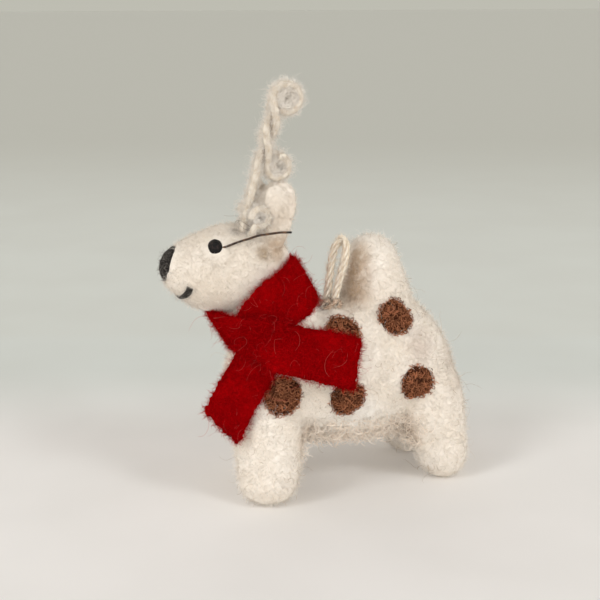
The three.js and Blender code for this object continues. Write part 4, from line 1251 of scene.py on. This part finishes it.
def scarf_rows():
    """The strip's middle line: each row has a point, the way its outer face looks, its width, how far its
    upper edge is let out and how far its cut slants."""
    rows = []
    for share in (1, 0.5, 0):
        bow = 4 * share * (1 - share) * END_BOW * FRONT_LENGTH
        lean = FRONT_ACROSS * share * FRONT_LEAN * FRONT_WIDTH
        rows.append((FRONT_HINGE + (FRONT_HEADING * share * FRONT_LENGTH + FRONT_FACING * bow + lean) * MM,
                     FRONT_FACING, FRONT_WIDTH, 0, share * FRONT_SLANT * FRONT_WIDTH / 2))
    rows.append((FRONT_HINGE - FRONT_HEADING * BEFORE_HINGE * MM, FRONT_FACING, SCARF_WIDTH, 0, 0))
    rows += [(*neck_place(*row), SCARF_WIDTH, raised, 0) for *row, raised in COLLAR_ROWS]
    rows.append((REAR_HINGE - REAR_HEADING * BEFORE_HINGE * MM, REAR_FACING, REAR_ROOT_WIDTH, 0, 0))
    for share, width in zip((0, 0.5, 1), REAR_WIDTHS):
        bow = 4 * share * (1 - share) * END_BOW * REAR_LENGTH
        rows.append((REAR_HINGE + (REAR_HEADING * share * REAR_LENGTH + REAR_FACING * bow) * MM,
                     REAR_FACING, width, 0, 0))
    return rows


STRIP_STATIONS = 190
STRIP_ACROSS = 31
FRAYED = 3  # stations from a cut end that fray
HEADING_STEP = 0.002  # of the line, each way from a station, to find its heading
LENGTH_STEPS = 99


def felt_strip(name, rows, spans, seed, ragged_start, ragged_end):
    """A felt strip along the given spans of the middle line, with ragged edges and uneven faces."""
    line, facings, *measures = ([row[k] for row in rows] for k in range(5))
    last_row = len(rows) - 1
    vertices, edge_share = [], []
    for i in range(STRIP_STATIONS):
        place_on = (spans[0] + (spans[1] - spans[0]) * i / (STRIP_STATIONS - 1)) / last_row
        middle = curve_point(line, place_on)
        ahead = (curve_point(line, place_on + HEADING_STEP)
                 - curve_point(line, place_on - HEADING_STEP)).normalized()
        across = curve_point(facings, place_on).cross(ahead).normalized()
        facing = ahead.cross(across).normalized()
        width, raised, slant = (np.interp(place_on * last_row, range(len(rows)), values)
                                for values in measures)
        from_end = min(i if ragged_start else FRAYED, STRIP_STATIONS - 1 - i if ragged_end else FRAYED)
        for face in (1, -1):
            for k in range(STRIP_ACROSS):
                share = 2 * (k if face == 1 else STRIP_ACROSS - 1 - k) / (STRIP_ACROSS - 1) - 1
                point = middle + (across * (share * width / 2 + max(share, 0) * raised)
                                  + ahead * share * slant) * MM
                spiky = (smooth_noise(point, 1.3, (seed, 0, 0)) * 0.7 + smooth_noise(point, 0.5) * 0.4
                         + smooth_noise(point, 4) * 0.6)
                point += across * math.copysign(abs(share) ** 6 * spiky, share) * MM
                if from_end < FRAYED:
                    point += ahead * (spiky * (1 - from_end / FRAYED) * (-1 if ragged_start else 1)) * MM
                thin = SCARF_THICK / 2 * (1 - 0.85 * abs(share) ** 10) * (0.35 if from_end < 1 else 1)
                uneven = 0.2 * smooth_noise(point, 3.2) + 0.12 * smooth_noise(point, 1.2)
                vertices.append(point + facing * face * (thin + uneven * (face > 0)) * MM)
                edge_share.append(0.3 + 0.7 * max(abs(share) ** 8, from_end < FRAYED))
    ring = 2 * STRIP_ACROSS
    faces = [(i * ring + k, i * ring + (k + 1) % ring, (i + 1) * ring + (k + 1) % ring, (i + 1) * ring + k)
             for i in range(STRIP_STATIONS - 1) for k in range(ring)]
    last = (STRIP_STATIONS - 1) * ring
    for k in range(STRIP_ACROSS - 1):
        faces.append((k, ring - 1 - k, ring - 2 - k, k + 1))
        faces.append((last + k, last + k + 1, last + ring - 2 - k, last + ring - 1 - k))
    made = mesh_object(name, vertices, faces, scarf_felt)
    whole = bmesh.new()
    whole.from_mesh(made.data)
    bmesh.ops.recalc_face_normals(whole, faces=whole.faces)
    whole.to_mesh(made.data)
    whole.free()
    flat_length = length_of([
        curve_point(line, (spans[0] + (spans[1] - spans[0]) * i / LENGTH_STEPS) / last_row)
        for i in range(LENGTH_STEPS + 1)])
    return with_fleece(made, edge_share), flat_length


strip_rows = scarf_rows()
SPLIT = 10.0  # the row where the front strip gives over to the rear one
OVERLAP = 0.1
front_strip, front_flat = felt_strip("scarf_front_strip", strip_rows, (0, SPLIT + OVERLAP), 3, True, False)
rear_strip, rear_flat = felt_strip("scarf_rear_strip", strip_rows, (SPLIT - OVERLAP, len(strip_rows) - 1), 8,
                                   False, True)
REAR_BEND = Vector((0.71, -0.69, 0)).normalized()
FRONT_BEND_LENGTH, REAR_BEND_LENGTH = 4, 3.5
for strip, flat_length, end_body, covers, start, end in (
        (front_strip, front_flat, "scarf_front_end", ("scarf_front_end", "scarf_collar"),
         FRONT_HINGE, FRONT_HINGE + FRONT_HEADING * FRONT_BEND_LENGTH * MM),
        (rear_strip, rear_flat, "scarf_rear_end", ("scarf_rear_end",),
         REAR_HINGE, REAR_HINGE + REAR_BEND * REAR_BEND_LENGTH * MM)):
    fibres = [
        plant(f"{strip.name}_fibres", strip, scarf_fibre, short_shapes, 11.0, (1.0, 2.7), (0.35, 1.5), 81),
        plant(f"{strip.name}_curls", strip, pale_curl, long_shapes, 0.1, (3.0, 9.0), (1.2, 1.55), 82),
    ]
    for piece in (strip, *fibres):
        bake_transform(piece)
    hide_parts(*covers)
scarf_ground = [tree_of(front_strip), tree_of(rear_strip)]


# Loose wool on the felt: standing fuzz, lying curls and a ragged fringe under the belly

SCARF_ROOM = 2.2
FOOT_ROOM = 0.6
# From the middle of each piece, where the loose wool starts and where it is full
SPOT_ROOM, NOSE_ROOM, EYE_ROOM = (4.2, 5.4), (4.0, 4.8), (3.0, 3.8)
BELLY_LOW, BELLY_HIGH = 11, 21
BELLY_MIDDLE, BELLY_REACH = 8, 22  # along the body
FRONT_UP_TO = 5  # along the body, where the front's fuzz gives over to the rear's
TOP_FROM = 33  # the height at which the feet's fuzz gives over to the top's
ANTLER_FOOT_FULL, ANTLER_FOOT_REACH = 4, 7


def wool_cover(piece):
    """Where loose wool may stand: not under the spots, the scarf, the face's pieces or the feet."""
    co = points_of(piece.data)
    cover_share = np.ones(len(co))
    clear = [(middle, *SPOT_ROOM) for middle in spot_places]
    clear += [(NOSE_POINT, *NOSE_ROOM), *((middle, *EYE_ROOM) for middle in EYE_PLACES.values())]
    for middle, bare, full in clear:
        away = np.linalg.norm(co - np.array(middle), axis=1)
        cover_share *= smoothstep(bare * MM, full * MM, away)
    for i, point in enumerate(co):
        if any(ground.find_nearest(Vector(point), SCARF_ROOM * MM)[0] for ground in scarf_ground):
            cover_share[i] = 0
    return cover_share * (co[:, 2] >= FOOT_ROOM * MM), co


body_cover, body_co = wool_cover(felt_body)
head_cover, head_co = wool_cover(felt_head)
belly = (smoothstep(-0.1, 0.4, -normals_of(felt_body.data)[:, 2]) * (body_co[:, 2] > BELLY_LOW * MM)
         * (body_co[:, 2] < BELLY_HIGH * MM)
         * (np.abs(body_co[:, 0] - BELLY_MIDDLE * MM) < BELLY_REACH * MM))
in_front = body_co[:, 0] < FRONT_UP_TO * MM
high = body_co[:, 2] > TOP_FROM * MM
for region, inside in (("front_top", in_front & high), ("front_foot", in_front & ~high),
                       ("rear_top", ~in_front & high), ("rear_foot", ~in_front & ~high)):
    set_share(felt_body.data, region, body_cover * inside * (1 - 0.5 * belly))
set_share(felt_body.data, "all_fleece", body_cover)
set_share(felt_body.data, "belly_fleece", belly)
set_share(felt_head.data, "all_fleece", head_cover)
from_foot = np.linalg.norm(head_co - np.array(ANTLER_FEET["left"]), axis=1)
near_foot = smoothstep(ANTLER_FOOT_REACH * MM, ANTLER_FOOT_FULL * MM, from_foot)
set_share(felt_head.data, "antler_foot", head_cover * near_foot)

# Each row is a name, the wool it stands on, its finish and shapes, fibres a square millimetre, lengths,
# leans, a seed and where it may be planted
FUZZ = (short_shapes, 4.6, (1.0, 2.6), (0.25, 1.5))
LOOSE_WOOL = (
    ("front_top_fuzz", felt_body, wool_fibre, *FUZZ, 91, "front_top"),
    ("front_foot_fuzz", felt_body, wool_fibre, *FUZZ, 92, "front_foot"),
    ("rear_top_fuzz", felt_body, wool_fibre, *FUZZ, 99, "rear_top"),
    ("rear_foot_fuzz", felt_body, wool_fibre, *FUZZ, 100, "rear_foot"),
    ("body_curls", felt_body, wool_fibre, curly_shapes, 0.2, (1.8, 4.5), (1.1, 1.55), 93, "all_fleece"),
    ("belly_fringe", felt_body, fringe_fibre_painted_light, tuft_shapes, 2.6, (2.2, 6.0), (0.3, 1.5), 94, "belly_fleece"),
    ("head_fuzz", felt_head, wool_fibre, short_shapes, 5.8, (0.8, 2.2), (0.25, 1.5), 95, "all_fleece"),
    ("head_curls", felt_head, wool_fibre, curly_shapes, 0.4, (1.5, 3.2), (1.1, 1.55), 96, "all_fleece"),
    ("stray_hairs", felt_body, stray_fibre, long_shapes, 0.02, (3.0, 9.0), (0.9, 1.5), 97, "all_fleece"),
    ("antler_foot_hairs", felt_head, dark_hair, hair_shapes, 0.09, (8.0, 15.0), (0.6, 1.3), 103,
     "antler_foot"),
    ("brown_curls", felt_body, stray_fibre, tuft_shapes, 0.06, (1.5, 3.6), (1.2, 1.56), 98, "all_fleece"),
)
for name, piece, *choices in LOOSE_WOOL:
    loose = plant(name, piece, *choices)
    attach(loose, "deer")

for shelf in (short_shapes, curly_shapes, thick_curl_shapes, tuft_shapes, hair_shapes, long_shapes):
    for shape in list(shelf.objects):
        bpy.data.objects.remove(shape)
    bpy.data.collections.remove(shelf)


# Floor and light. The floor's far part takes the tone of a pale wall, with no wall to stand in the way.

FLOOR_REACH = 12.0
# How far behind the deer, in millimetres, each change of the floor's tone starts and ends
NEAR_CHANGE, WALL_EDGE, WALL_CHANGE = (20, 115), (143, 161), (180, 900)


def floor_finish():
    """Pale at the deer's feet, and toned like a wall beyond."""
    material, tree, shader, coords = new_material("studio_floor", 1.0, specular=0.0)
    away = vector_node(tree, "DOT_PRODUCT", coords, -toward(EYE_TURN, 0))

    def changed(near, far, first, second):
        return mix_colors(tree, spread_range(tree, away, near * MM, far * MM), first, second)

    color = changed(*NEAR_CHANGE, srgb(239, 236, 233), srgb(211, 214, 209))
    wall_color = changed(*WALL_CHANGE, srgb(210, 212, 206), srgb(190, 190, 182))
    color = changed(*WALL_EDGE, color, wall_color)
    cloudy = spread_range(tree, grain(tree, coords, 60, 2.0), 0.3, 0.7, 0.0, 0.12)
    color = mix_colors(tree, cloudy, color, srgb(190, 188, 180))
    tree.links.new(color, shader.inputs["Base Color"])
    return material


corners = ((-1, -1), (1, -1), (1, 1), (-1, 1))
floor = mesh_object("floor", [(x * FLOOR_REACH, y * FLOOR_REACH, 0) for x, y in corners], [(0, 1, 2, 3)],
                    floor_finish())


def sun(name, azimuth, rise, strength, spread_degrees, color):
    data = bpy.data.lights.new(name, "SUN")
    data.energy = strength
    data.angle = math.radians(spread_degrees)
    data.color = color
    aim(add_object(name, data), toward(azimuth, rise), "Z")


sun("right_softbox", EYE_TURN + 50, 40, 0.62, 16, (0.97, 0.99, 1.0))
sun("left_softbox", EYE_TURN - 50, 40, 0.72, 18, (0.97, 0.99, 1.0))
sun("front_softbox", EYE_TURN - 6, 8, 0.42, 24, (0.97, 0.985, 1.0))


LOW_LIGHT, HIGH_LIGHT = 1.85, 0.2


def set_world():
    """Soft warm light from all round, stronger from low down. The camera sees a plain pale grey."""
    world = bpy.data.worlds.new("studio")
    bpy.context.scene.world = world
    world.use_nodes = True
    tree = world.node_tree
    tree.nodes.clear()
    heading = add_node(tree, "ShaderNodeTexCoord").outputs["Generated"]
    rise = add_node(tree, "ShaderNodeSeparateXYZ", [(0, heading)]).outputs["Z"]
    strength = spread_range(tree, rise, 0.1, 0.9, LOW_LIGHT, HIGH_LIGHT)
    light = add_node(tree, "ShaderNodeBackground",
                     [("Color", (1.0, 0.968, 0.915, 1)), ("Strength", strength)])
    seen = add_node(tree, "ShaderNodeBackground", [("Color", srgb(190, 189, 178)), ("Strength", 1.0)])
    rays = add_node(tree, "ShaderNodeLightPath").outputs
    either = math_node(tree, "MAXIMUM", rays["Is Camera Ray"], rays["Is Glossy Ray"])
    either = math_node(tree, "MAXIMUM", either, rays["Is Transmission Ray"])
    choice = add_node(tree, "ShaderNodeMixShader", [(0, either), (1, light.outputs[0]), (2, seen.outputs[0])])
    add_node(tree, "ShaderNodeOutputWorld", [("Surface", choice.outputs[0])])


set_world()
bpy.context.scene.view_settings.view_transform = "Standard"
